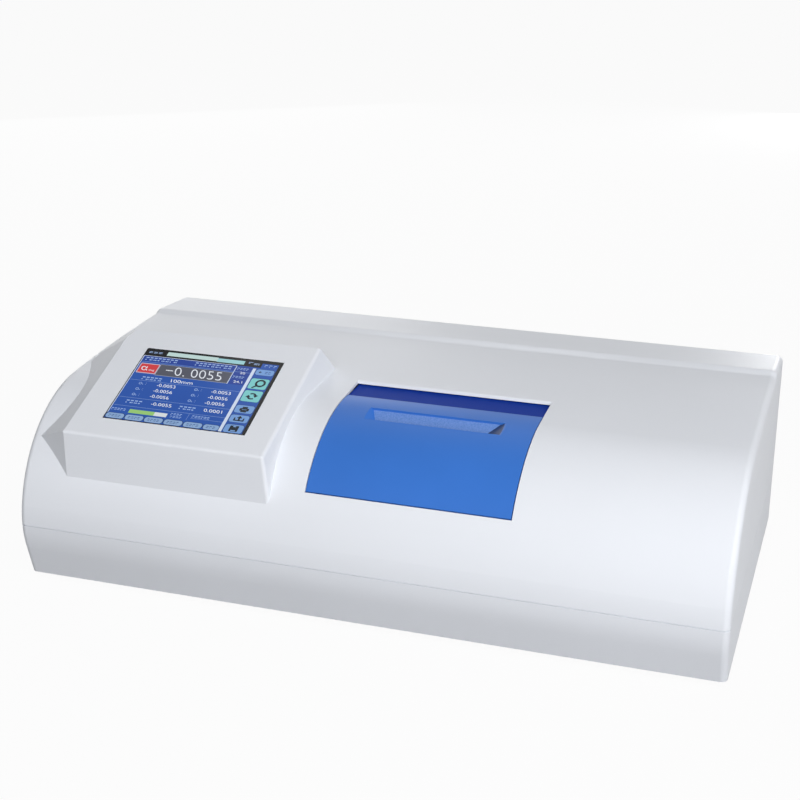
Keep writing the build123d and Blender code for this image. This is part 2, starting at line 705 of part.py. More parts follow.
def door_panel():
    """Drum-shaped panel, flush in its opening, with under-lapping side lips and a moulded finger pocket."""
    gap = arc_angle(DOOR_GAP)
    bottom = DOOR_BOTTOM_ANGLE - gap
    x0, x1 = DOOR_X0 + DOOR_GAP, DOOR_X1 - DOOR_GAP
    panel = ring_sector(LIP_R1, DRUM_R, STRIP_BOTTOM_ANGLE, bottom, x0, x1)
    outer = panel.edges().filter_by(lambda e: abs(e.length - (x1 - x0)) < 0.01).sort_by(Axis.Y)[:2]
    panel = fillet(outer.sort_by(Axis.Z)[-1], 0.8)
    lip_end = bottom + LIP_BOTTOM_ANGLE
    for inner, outer_x in ((x0 + LIP_LAND, DOOR_X0 - LIP_OVERLAP), (x1 - LIP_LAND, DOOR_X1 + LIP_OVERLAP)):
        lip = ring_sector(LIP_R0, LIP_R1, STRIP_BOTTOM_ANGLE, lip_end, min(inner, outer_x), max(inner, outer_x))
        panel = panel + lip
    panel = panel + ring_sector(LIP_R0, LIP_R1, bottom - LIP_BOTTOM_ANGLE, lip_end, x0, x1)
    pan = finger_pocket(POCKET_WALL) & ring_sector(PIVOT_Z, DRUM_R - 0.5, STRIP_BOTTOM_ANGLE, bottom, x0, x1)
    return panel + pan - finger_pocket(0)


def door_top_strip():
    """Darker flat strip from the panel's top edge to under the roof edge, seated under the panel."""
    x0, x1 = DOOR_X0 + DOOR_GAP, DOOR_X1 - DOOR_GAP
    joint = STRIP_BOTTOM_ANGLE - arc_angle(STRIP_JOINT)
    front = polar(DRUM_R - STRIP_STEP, joint)
    foot = polar(LIP_R0, joint)
    flat = make_face(Polyline(
        front, (front[0] + STRIP_RUN, front[1]), (front[0] + STRIP_RUN, front[1] - STRIP_T),
        (foot[0] + STRIP_T, foot[1]), foot, close=True,
    ))
    strip = along_x(flat, x0, x1)
    seat = ring_sector(
        LIP_R0, LIP_R1, joint - 1, STRIP_BOTTOM_ANGLE + STRIP_SEAT_ANGLE,
        x0 + LIP_LAND + STRIP_JOINT, x1 - LIP_LAND - STRIP_JOINT,
    )
    return strip + seat


def arm_x_range(side):
    """Where a door arm lies: outside its bulkhead, under the door's side lip."""
    if side < 0:
        x1 = CHAMBER_X0 - BULKHEAD_T - SIDE_GAP
        return x1 - ARM_T, x1
    x0 = CHAMBER_X1 + BULKHEAD_T + SIDE_GAP
    return x0, x0 + ARM_T


def door_arm(side):
    """Sector arm from the pivot hub to a curved rim under the door's lip."""
    x0, x1 = arm_x_range(side)
    rim = ring_sector(LIP_R0 - ARM_RIM, LIP_R0, ARM_TOP_ANGLE, ARM_BOTTOM_ANGLE, x0, x1)
    near, far = ARM_WEB_NEAR, LIP_R0 - ARM_RIM / 2
    web = make_face(Polyline(
        polar(near, ARM_TOP_ANGLE - ARM_WEB_FLARE),
        polar(far, ARM_TOP_ANGLE + ARM_WEB_TAPER),
        polar(far, ARM_BOTTOM_ANGLE - ARM_WEB_TAPER),
        polar(near, ARM_BOTTOM_ANGLE + ARM_WEB_FLARE),
        close=True,
    ))
    arm = rim + along_x(web, x0, x1) + rod_x(HUB_R, x0, x1, PIVOT_Y, PIVOT_Z)
    middle = (ARM_TOP_ANGLE + ARM_BOTTOM_ANGLE) / 2
    window = make_face(Polyline(
        polar(HUB_R * 2.6, middle),
        polar(LIP_R0 - 2.2 * ARM_RIM, middle - 8),
        polar(LIP_R0 - 2.2 * ARM_RIM, middle + 8),
        close=True,
    ))
    arm = arm - along_x(window, x0 - 1, x1 + 1)
    return arm - rod_x(PIN_R + RUNNING_GAP, x0 - 1, x1 + 1, PIVOT_Y, PIVOT_Z)


def pivot_pin(side):
    """Headed pin fixed in the bulkhead, its shank carrying the arm's hub."""
    x0, x1 = arm_x_range(side)
    wall = CHAMBER_X0 - BULKHEAD_T if side < 0 else CHAMBER_X1 + BULKHEAD_T
    end = (x0 if side < 0 else x1) + side * BUFFER_GAP
    inner = wall - side * BULKHEAD_T
    shank = rod_x(PIN_R, min(inner, end), max(inner, end), PIVOT_Y, PIVOT_Z)
    head = rod_x(PIN_HEAD_R, min(end, end + side * PIN_HEAD_T), max(end, end + side * PIN_HEAD_T),
                 PIVOT_Y, PIVOT_Z)
    collar_end = wall + side * (SIDE_GAP - BUFFER_GAP)
    collar = rod_x(PIN_HEAD_R, min(wall, collar_end), max(wall, collar_end), PIVOT_Y, PIVOT_Z)
    return shank + head + collar


def stop_pin_angle():
    """Angle of the open stop, clear of the opened arm's rear edge by the buffer gap."""
    edge = math.degrees(math.atan2(
        polar(STOP_PIN_RADIUS, arm_edge_angle())[1] - PIVOT_Z,
        polar(STOP_PIN_RADIUS, arm_edge_angle())[0] - PIVOT_Y,
    ))
    return edge - DOOR_TRAVEL - arc_angle(STOP_PIN_R + 2 * BUFFER_GAP, STOP_PIN_RADIUS)


def arm_edge_angle():
    """Angle of the arm web's rear edge at the stop pin's radius."""
    near, far = ARM_WEB_NEAR, LIP_R0 - ARM_RIM / 2
    a0, a1 = math.radians(ARM_TOP_ANGLE - ARM_WEB_FLARE), math.radians(ARM_TOP_ANGLE + ARM_WEB_TAPER)
    p0 = (near * math.cos(a0), near * math.sin(a0))
    p1 = (far * math.cos(a1), far * math.sin(a1))
    lo, hi = 0.0, 1.0
    for _ in range(40):
        mid = (lo + hi) / 2
        y, z = p0[0] + (p1[0] - p0[0]) * mid, p0[1] + (p1[1] - p0[1]) * mid
        if math.hypot(y, z) < STOP_PIN_RADIUS:
            lo = mid
        else:
            hi = mid
    return math.degrees(math.atan2(z, y))


def bulkhead_x_range(side):
    if side < 0:
        return CHAMBER_X0 - BULKHEAD_T, CHAMBER_X0
    return CHAMBER_X1, CHAMBER_X1 + BULKHEAD_T


def ear_angle():
    """Where the bulkhead's ear starts: under the closed door's lip, past the buffer."""
    return DOOR_BOTTOM_ANGLE + LIP_BOTTOM_ANGLE + arc_angle(BUFFER_GAP + BUFFER_T - DOOR_GAP, LIP_R0)


def bulkhead(side):
    """Side wall of the compartment: curved top under the door, beam hole, pivot hole and folded foot."""
    x0, x1 = bulkhead_x_range(side)
    front = PIVOT_Y - BULKHEAD_FRONT
    rear = PIVOT_Y + BULKHEAD_REAR
    wall = block(x0, x1, front, rear, BENCH_TOP, PIVOT_Z + BULKHEAD_R)
    wall = wall & rod_x(BULKHEAD_R, x0, x1, PIVOT_Y, PIVOT_Z)
    wall = wall + ring_sector(BULKHEAD_R - BULKHEAD_FOOT, LIP_R1 - EAR_RIM_GAP, ear_angle(), ear_angle() + EAR_SPAN, x0, x1)
    foot_x = x0 - BULKHEAD_FOOT if side < 0 else x1 + BULKHEAD_FOOT
    foot = block(min(x0, foot_x), max(x1, foot_x), BEAM_Y - BENCH_W / 2, BEAM_Y + BENCH_W / 2,
                 BENCH_TOP, BENCH_TOP + BULKHEAD_T)
    wall = wall + foot
    wall = wall - rod_x(WINDOW_R, x0 - 1, x1 + 1, BEAM_Y, BEAM_Z)
    return wall - rod_x(PIN_R, x0 - 1, x1 + 1, PIVOT_Y, PIVOT_Z)


def door_buffer(side):
    """Rubber pad on the bulkhead's ear, on which the closed door's lip rests."""
    x0, x1 = bulkhead_x_range(side)
    start = DOOR_BOTTOM_ANGLE - arc_angle(DOOR_GAP) + LIP_BOTTOM_ANGLE + arc_angle(BUFFER_GAP, LIP_R0)
    return ring_sector(LIP_R0 - BUFFER_LAP, LIP_R1 - EAR_RIM_GAP, start, ear_angle(), x0 - BUFFER_SIDE, x1 + BUFFER_SIDE)


def door_stop(side):
    """Short stop pin outside the bulkhead, which the opened arm meets."""
    x0, x1 = arm_x_range(side)
    wall = bulkhead_x_range(side)[0] if side < 0 else bulkhead_x_range(side)[1]
    y, z = polar(STOP_PIN_RADIUS, stop_pin_angle())
    end = x0 if side < 0 else x1
    return rod_x(STOP_PIN_R, min(wall, end), max(wall, end), y, z)


def chamber_trough():
    """Black drip trough between the bulkheads: U-shaped, its rear wall the higher one."""
    centre = BEAM_Y + TROUGH_SHIFT
    y0, y1 = centre - TROUGH_HALF_W, centre + TROUGH_HALF_W
    outer = block(CHAMBER_X0, CHAMBER_X1, y0, y1, TROUGH_FLOOR, TROUGH_REAR_TOP)
    outer = fillet(outer.edges().filter_by(Axis.X).sort_by(Axis.Z)[:2], TROUGH_CORNER_R)
    inner = block(CHAMBER_X0 - 1, CHAMBER_X1 + 1, y0 + TROUGH_T, y1 - TROUGH_T,
                  TROUGH_FLOOR + TROUGH_T, TROUGH_REAR_TOP + 1)
    inner = fillet(inner.edges().filter_by(Axis.X).sort_by(Axis.Z)[:2], TROUGH_CORNER_R - TROUGH_T)
    trough = outer - inner
    return trough - block(-BIG, BIG, y0 - 1, centre, TROUGH_FRONT_TOP, BIG)


def tube_cradle():
    """V-grooved rail that holds the sample tube on the beam axis."""
    x0, x1 = CHAMBER_X0 + CRADLE_END_GAP, CHAMBER_X1 - CRADLE_END_GAP
    rail = block(x0, x1, BEAM_Y - CRADLE_W / 2, BEAM_Y + CRADLE_W / 2, TROUGH_FLOOR + TROUGH_T, CRADLE_TOP)
    rail = chamfer(rail.edges().filter_by(Axis.X).sort_by(Axis.Z)[-2:], CRADLE_EDGE)
    vertex = BEAM_Z - TUBE_R * math.sqrt(2)
    reach = CRADLE_TOP + 5 - vertex
    notch = make_face(Polyline(
        (BEAM_Y, vertex), (BEAM_Y - reach, vertex + reach), (BEAM_Y + reach, vertex + reach), close=True,
    ))
    rail = rail - along_x(notch, x0 - 1, x1 + 1)
    middle = (x0 + x1) / 2
    return rail - block(middle - CRADLE_NOTCH / 2, middle + CRADLE_NOTCH / 2, BEAM_Y - CRADLE_W,
                        BEAM_Y + CRADLE_W, vertex - CRADLE_EDGE, CRADLE_TOP + 1)


def window_glass(side):
    x0, x1 = bulkhead_x_range(side)
    return rod_x(WINDOW_R, x0, x1, BEAM_Y, BEAM_Z)


def window_ring(side):
    """Ring on the outside of the bulkhead that keeps the window in."""
    x0, x1 = bulkhead_x_range(side)
    a, b = (x0 - RING_T, x0) if side < 0 else (x1, x1 + RING_T)
    return rod_x(RING_R, a, b, BEAM_Y, BEAM_Z) - rod_x(BEAM_R, a - 1, b + 1, BEAM_Y, BEAM_Z)


# Optical bench and train
def optical_bench():
    """Channel-section bench, its flanges down, that carries the bulkheads and every optical mount."""
    x1 = LENGTH / 2 - BENCH_END_GAP
    x0 = -x1
    y0, y1 = BEAM_Y - BENCH_W / 2, BEAM_Y + BENCH_W / 2
    bench = block(x0, x1, y0, y1, BENCH_TOP - BENCH_FLANGE, BENCH_TOP)
    return bench - block(x0 - 1, x1 + 1, y0 + BENCH_T, y1 - BENCH_T, 0, BENCH_TOP - BENCH_T)


def pillar_x():
    return [-PILLAR_PITCH, 0.0, PILLAR_PITCH]


def bench_pillar(x):
    """Pillar from the tray floor to the underside of the bench."""
    return rod_z(PILLAR_R, x, BEAM_Y, FLOOR_Z, BENCH_TOP - BENCH_T)


def optic_mount(x0, x1, head_r, bore_r):
    """Standing mount: foot on the bench, narrow web and a round head with a bore on the beam axis."""
    mount = block(x0, x1, BEAM_Y - MOUNT_HALF_W, BEAM_Y + MOUNT_HALF_W, BENCH_TOP, BENCH_TOP + MOUNT_FOOT_H)
    mount = mount + block(x0, x1, BEAM_Y - MOUNT_WEB, BEAM_Y + MOUNT_WEB, BENCH_TOP, BEAM_Z)
    mount = mount + rod_x(head_r, x0, x1, BEAM_Y, BEAM_Z)
    return mount - rod_x(bore_r, x0 - 1, x1 + 1, BEAM_Y, BEAM_Z)


def lens(x0, radius, thickness):
    """Plano-convex lens, flat side towards -X."""
    edge = thickness * 0.6
    rise = thickness - edge
    dome_r = (radius ** 2 + rise ** 2) / (2 * rise)
    half = math.asin(radius / dome_r) / 2
    crest = (thickness - dome_r * (1 - math.cos(half)), dome_r * math.sin(half))
    outline = make_face([
        Line((0, 0), (0, radius)),
        Line((0, radius), (edge, radius)),
        ThreePointArc((edge, radius), crest, (thickness, 0)),
        Line((thickness, 0), (0, 0)),
    ])
    place = Plane(origin=(x0, BEAM_Y, BEAM_Z), x_dir=(1, 0, 0), z_dir=(0, -1, 0))
    return revolve(place * outline, axis=Axis((x0, BEAM_Y, BEAM_Z), (1, 0, 0)))


def gear_outline(teeth):
    """Spur gear outline with straight-sided teeth, thinned by the backlash."""
    pitch_r = MODULE * teeth / 2
    root_r, tip_r = pitch_r - 1.3 * MODULE, pitch_r + 0.9 * MODULE
    step = 360 / teeth
    half_pitch = step / 4 - math.degrees(TOOTH_BACKLASH / 2 / pitch_r)
    half_tip = half_pitch - math.degrees(0.9 * MODULE * math.tan(math.radians(22)) / pitch_r)
    half_root = half_pitch + math.degrees(0.9 * MODULE * math.tan(math.radians(16)) / pitch_r)
    points = []
    for i in range(teeth):
        middle = i * step
        for radius, half in ((root_r, -half_root), (tip_r, -half_tip), (tip_r, half_tip), (root_r, half_root)):
            a = math.radians(middle + half)
            points.append((radius * math.cos(a), radius * math.sin(a)))
    return make_face(Polyline(*points, close=True))


def analyser_gear():
    """Toothed ring on the sleeve that turns in the analyser housing and holds the prism."""
    gear = along_x(Pos(BEAM_Y, BEAM_Z) * gear_outline(GEAR_TEETH), GEAR_X0, GEAR_X1)
    for i in range(GEAR_HOLES):
        a = 2 * math.pi * (i + 0.5) / GEAR_HOLES
        y, z = BEAM_Y + GEAR_HOLE_CIRCLE * math.cos(a), BEAM_Z + GEAR_HOLE_CIRCLE * math.sin(a)
        gear = gear - rod_x(GEAR_HOLE_R, GEAR_X0 - 1, GEAR_X1 + 1, y, z)
    gear = gear + rod_x(SLEEVE_R, ANALYSER_X0, GEAR_X1, BEAM_Y, BEAM_Z)
    return gear - rod_x(SLEEVE_BORE_R, ANALYSER_X0 - 1, GEAR_X1 + 1, BEAM_Y, BEAM_Z)


def analyser_prism():
    return rod_x(SLEEVE_BORE_R, ANALYSER_X0 + PRISM_SETBACK, ANALYSER_X0 + PRISM_SETBACK + PRISM_LENGTH,
                 BEAM_Y, BEAM_Z)


def motor_pinion():
    """Pinion on the motor shaft, in mesh with the analyser gear, with its shaft."""
    offset_angle = 180 + 180 / PINION_TEETH
    outline = Pos(MOTOR_Y, BEAM_Z) * Rot(0, 0, offset_angle) * gear_outline(PINION_TEETH)
    middle = (GEAR_X0 + GEAR_X1) / 2
    pinion = along_x(outline, middle - PINION_T / 2, middle + PINION_T / 2)
    return pinion + rod_x(SHAFT_R, PLATE_X0 - 10, middle, MOTOR_Y, BEAM_Z)


def motor_bracket():
    """Plate on the analyser housing's face that carries the motor and clears the sleeve."""
    plate = block(PLATE_X0, PLATE_X1, BEAM_Y - MOUNT_HALF_W, MOTOR_Y + MOTOR_SIZE / 2,
                  BEAM_Z - MOTOR_SIZE / 2, BEAM_Z + MOTOR_SIZE / 2)
    plate = fillet(plate.edges().filter_by(Axis.X), 4)
    plate = plate - rod_x(SLEEVE_R + 1, PLATE_X0 - 1, PLATE_X1 + 1, BEAM_Y, BEAM_Z)
    return plate - rod_x(MOTOR_BOSS_R, PLATE_X0 - 1, PLATE_X1 + 1, MOTOR_Y, BEAM_Z)


def drive_motor():
    """Square stepping motor behind the plate, with its round boss in the plate's hole."""
    half = MOTOR_SIZE / 2
    body = block(PLATE_X0 - MOTOR_LENGTH, PLATE_X0, MOTOR_Y - half, MOTOR_Y + half, BEAM_Z - half, BEAM_Z + half)
    body = chamfer(body.edges().filter_by(Axis.X), 4)
    body = body + rod_x(MOTOR_BOSS_R, PLATE_X0 - 1, PLATE_X0 + 2, MOTOR_Y, BEAM_Z)
    return body - rod_x(SHAFT_R + RUNNING_GAP, PLATE_X0 - 12, PLATE_X0 + 3, MOTOR_Y, BEAM_Z)


def analyser_housing():
    return optic_mount(ANALYSER_X0, PLATE_X0, MOUNT_HALF_W, SLEEVE_R + RUNNING_GAP)


def lens_tube(x0, x1):
    return optic_mount(x0, x1, LENS_R + 4, LENS_R)


def detector_housing():
    """Light-tight box on the bench with a round entry, open at the back for its board."""
    half = MOUNT_HALF_W + DETECTOR_MARGIN
    wall = DETECTOR_WALL
    box = block(DETECTOR_X0, DETECTOR_X1, BEAM_Y - half, BEAM_Y + half, BENCH_TOP, BEAM_Z + half)
    box = fillet(box.edges().filter_by(Axis.X).sort_by(Axis.Z)[-2:], HOUSING_CORNER_R)
    box = box - block(DETECTOR_X0 - 1, DETECTOR_X1 - wall, BEAM_Y - half + wall, BEAM_Y + half - wall,
                      BENCH_TOP + wall, BEAM_Z + half - wall)
    return box - rod_x(BEAM_R, DETECTOR_X0, DETECTOR_X1 + 1, BEAM_Y, BEAM_Z)


def detector_board():
    """Board that closes the detector box, with the photodetector can on its inside."""
    half = MOUNT_HALF_W + DETECTOR_MARGIN - DETECTOR_WALL
    x0 = DETECTOR_X0 + DETECTOR_MARGIN
    board = block(x0, x0 + BOARD_THICKNESS, BEAM_Y - half, BEAM_Y + half, BENCH_TOP + DETECTOR_WALL, BEAM_Z + half)
    return board + rod_x(BEAM_R + 3, x0 + BOARD_THICKNESS / 2, DETECTOR_X1 - 4 * DETECTOR_WALL, BEAM_Y, BEAM_Z)


def coil_bobbin():
    """Spool with two cheeks that stand on the bench."""
    spool = rod_x(COIL_CORE_R, COIL_X0, COIL_X1, BEAM_Y, BEAM_Z)
    for x in (COIL_X0, COIL_X1 - COIL_CHEEK):
        spool = spool + optic_mount(x, x + COIL_CHEEK, COIL_R + 2, ROD_R)
    return spool - rod_x(ROD_R, COIL_X0 - 1, COIL_X1 + 1, BEAM_Y, BEAM_Z)


def coil_winding():
    a, b = COIL_X0 + COIL_CHEEK, COIL_X1 - COIL_CHEEK
    return rod_x(COIL_R, a, b, BEAM_Y, BEAM_Z) - rod_x(COIL_CORE_R, a - 1, b + 1, BEAM_Y, BEAM_Z)


def faraday_rod():
    return rod_x(ROD_R, COIL_X0 + 2, COIL_X1 - 2, BEAM_Y, BEAM_Z)


def lamp_housing():
    """Lamp block against the collimator tube, with a pocket for the lamp board."""
    half = MOUNT_HALF_W
    box = block(LAMP_X0, LAMP_X1, BEAM_Y - half, BEAM_Y + half, BENCH_TOP, BEAM_Z + half)
    box = fillet(box.edges().filter_by(Axis.X).sort_by(Axis.Z)[-2:], HOUSING_CORNER_R)
    box = box - rod_x(LAMP_BORE_R, LAMP_X0 - 1, LAMP_X1 + 1, BEAM_Y, BEAM_Z)
    return box - rod_x(LAMP_SEAT_R, LAMP_X1 - LAMP_SEAT_DEPTH, LAMP_X1 + 1, BEAM_Y, BEAM_Z)


def led_lamp():
    """Round lamp board with its dome."""
    board = rod_x(LAMP_SEAT_R - 0.2, LAMP_X1 - LAMP_BOARD_T, LAMP_X1, BEAM_Y, BEAM_Z)
    return board + rod_x(BEAM_R / 2, LAMP_X1 - 2 * LAMP_BOARD_T, LAMP_X1 - LAMP_BOARD_T / 2, BEAM_Y, BEAM_Z)


def lamp_heatsink():
    """Finned heat sink on the back of the lamp block."""
    half = MOUNT_HALF_W
    sink = block(LAMP_X1, LAMP_X1 + HEATSINK_T, BEAM_Y - half, BEAM_Y + half, BEAM_Z - half, BEAM_Z + half)
    pitch = 2 * half / HEATSINK_FINS
    for i in range(1, HEATSINK_FINS):
        y = BEAM_Y - half + pitch * i
        sink = sink - block(LAMP_X1 + HEATSINK_BASE, LAMP_X1 + HEATSINK_T + 1, y - pitch / 3, y + pitch / 3, 0, BIG)
    return sink


# Electronics
def standoff_places():
    x, y = MAIN_BOARD_W / 2 - 6, MAIN_BOARD_D / 2 - 6
    return [(MAIN_BOARD_X + sx * x, MAIN_BOARD_Y + sy * y) for sx in (-1, 1) for sy in (-1, 1)]


def main_board():
    """Main board with processor, two capacitors, a heat-sinked regulator and edge connectors."""
    z0 = FLOOR_Z + BOARD_STANDOFF
    z1 = z0 + BOARD_THICKNESS
    x, y = MAIN_BOARD_X, MAIN_BOARD_Y
    w, d = MAIN_BOARD_W, MAIN_BOARD_D
    seat = z1 - BOARD_THICKNESS / 3
    board = block(x - w / 2, x + w / 2, y - d / 2, y + d / 2, z0, z1)
    board = board + block(x - w / 15, x + w / 15, y - w / 15, y + w / 15, seat, z1 + CHIP_H)
    for share in (-0.30, -0.19):
        board = board + rod_z(CAPACITOR_R, x + share * w, y - d / 4, seat, z1 + CAPACITOR_H)
    board = board + block(x + 0.24 * w, x + 0.38 * w, y - 0.34 * d, y - 0.18 * d, seat, z1 + REGULATOR_H)
    return board + block(x - 0.1 * w, x + 0.19 * w, y - 0.46 * d, y - 0.38 * d, seat, z1 + CONNECTOR_H)


def power_supply():
    """Closed switching supply: folded case with a terminal block on a ledge at its left end."""
    x0, x1 = SUPPLY_X - SUPPLY_W / 2, SUPPLY_X + SUPPLY_W / 2
    y0, y1 = SUPPLY_Y - SUPPLY_D / 2, SUPPLY_Y + SUPPLY_D / 2
    case = block(x0, x1, y0, y1, FLOOR_Z, FLOOR_Z + SUPPLY_H)
    ledge = FLOOR_Z + SUPPLY_LEDGE_H
    case = case - block(x0 - 1, x0 + SUPPLY_LEDGE_W, y0 + WALL, y1 - WALL, ledge, BIG)
    return case + block(x0 + 2, x0 + SUPPLY_LEDGE_W - 2, y0 + SUPPLY_LEDGE_W, y1 - SUPPLY_LEDGE_W,
                        ledge - 1, ledge + TERMINAL_H)


# Rear connectors
def flanged_body(x, z, width, height, depth, flange):
    """Connector body through the rear plate with a flange against the plate's outer face."""
    body = block(x - width / 2, x + width / 2, PLATE_Y0 - depth, PLATE_Y1 + FLANGE_T / 2,
                 z - height / 2, z + height / 2)
    lip = block(x - width / 2 - flange, x + width / 2 + flange, PLATE_Y1, PLATE_Y1 + FLANGE_T,
                z - height / 2 - flange, z + height / 2 + flange)
    return body + lip


def mains_inlet():
    """Three-pin appliance inlet: open shroud with its blades standing from the back wall."""
    x, z = INLET_X, CONNECTOR_Z
    inlet = flanged_body(x, z, INLET_W, INLET_H, INLET_DEPTH, 4)
    half_w, half_h = INLET_W / 2 - INLET_WALL, INLET_H / 2 - INLET_WALL
    inlet = inlet - block(x - half_w, x + half_w, PLATE_Y0 - INLET_DEPTH + INLET_WALL, REAR + 1,
                          z - half_h, z + half_h)
    for dx, dz in ((-7, -2), (7, -2), (0, 2)):
        inlet = inlet + block(x + dx - 1, x + dx + 1, PLATE_Y0 - INLET_DEPTH, PLATE_Y1 - 2,
                              z + dz - 2.5, z + dz + 2.5)
    return inlet


def fuse_drawer():
    """Pull-out fuse carrier with a finger nick in its face."""
    z = CONNECTOR_Z - FUSE_DROP
    drawer = flanged_body(INLET_X, z, INLET_W, FUSE_H, INLET_DEPTH, 3)
    return drawer - block(INLET_X - 4, INLET_X + 4, PLATE_Y1 + 0.6, REAR + 1, z - 2, z + 2)


def power_switch():
    """Switch body with its bezel, cavity and pivot holes."""
    x, z = SWITCH_X, CONNECTOR_Z
    body = flanged_body(x, z, SWITCH_W, SWITCH_H, SWITCH_DEPTH, 2.5)
    half_h = SWITCH_H / 2 - INLET_WALL
    half_w = ROCKER_HALF_W + ROCKER_GAP
    body = body - block(x - half_w, x + half_w, PLATE_Y0 - SWITCH_DEPTH + INLET_WALL, REAR + 1,
                        z - half_h, z + half_h)
    reach = ROCKER_HALF_W + ROCKER_PIN_REACH + ROCKER_GAP / 2
    return body - rod_x(ROCKER_PIN_R + RUNNING_GAP, x - reach, x + reach, ROCKER_Y, z)


def power_rocker():
    """Two-winged rocker on its stub pins, resting with its lower end pressed in."""
    wings = make_face(Polyline(
        (ROCKER_FACE, 0), (ROCKER_HORN, ROCKER_HALF_H), (ROCKER_HORN - ROCKER_EDGE, ROCKER_HALF_H),
        (-ROCKER_BACK, ROCKER_PIN_R), (-ROCKER_BACK, -ROCKER_PIN_R),
        (ROCKER_HORN - ROCKER_EDGE, -ROCKER_HALF_H), (ROCKER_HORN, -ROCKER_HALF_H),
        close=True,
    ))
    turned = Pos(ROCKER_Y, CONNECTOR_Z) * Rot(0, 0, -ROCKER_TILT) * wings
    rocker = along_x(turned, SWITCH_X - ROCKER_HALF_W, SWITCH_X + ROCKER_HALF_W)
    reach = ROCKER_HALF_W + ROCKER_PIN_REACH
    return rocker + rod_x(ROCKER_PIN_R, SWITCH_X - reach, SWITCH_X + reach, ROCKER_Y, CONNECTOR_Z)


def usb_port(x):
    """USB socket shell with its tongue."""
    port = flanged_body(x, CONNECTOR_Z, USB_W, USB_H, 14, 1.2)
    port = port - block(x - USB_W / 2 + 1, x + USB_W / 2 - 1, PLATE_Y0 - 12, REAR + 1,
                        CONNECTOR_Z - USB_H / 2 + 1, CONNECTOR_Z + USB_H / 2 - 1)
    return port + block(x - USB_W / 2 + 2, x + USB_W / 2 - 2, PLATE_Y0 - 13, PLATE_Y1,
                        CONNECTOR_Z, CONNECTOR_Z + 1.8)


def serial_port():
    """Nine-way socket: flange, D-shaped shell and two hexagon posts."""
    port = flanged_body(SERIAL_X, CONNECTOR_Z, SERIAL_W - 10, SERIAL_H - 3, 10, 1.5)
    shell = make_face(Polyline(
        (-9, 4), (9, 4), (7.6, -4), (-7.6, -4), close=True,
    ))
    placed = Plane(origin=(SERIAL_X, PLATE_Y1 + 1, CONNECTOR_Z), x_dir=(-1, 0, 0), z_dir=(0, 1, 0))
    return port + extrude(placed * shell, amount=WALL - 1)


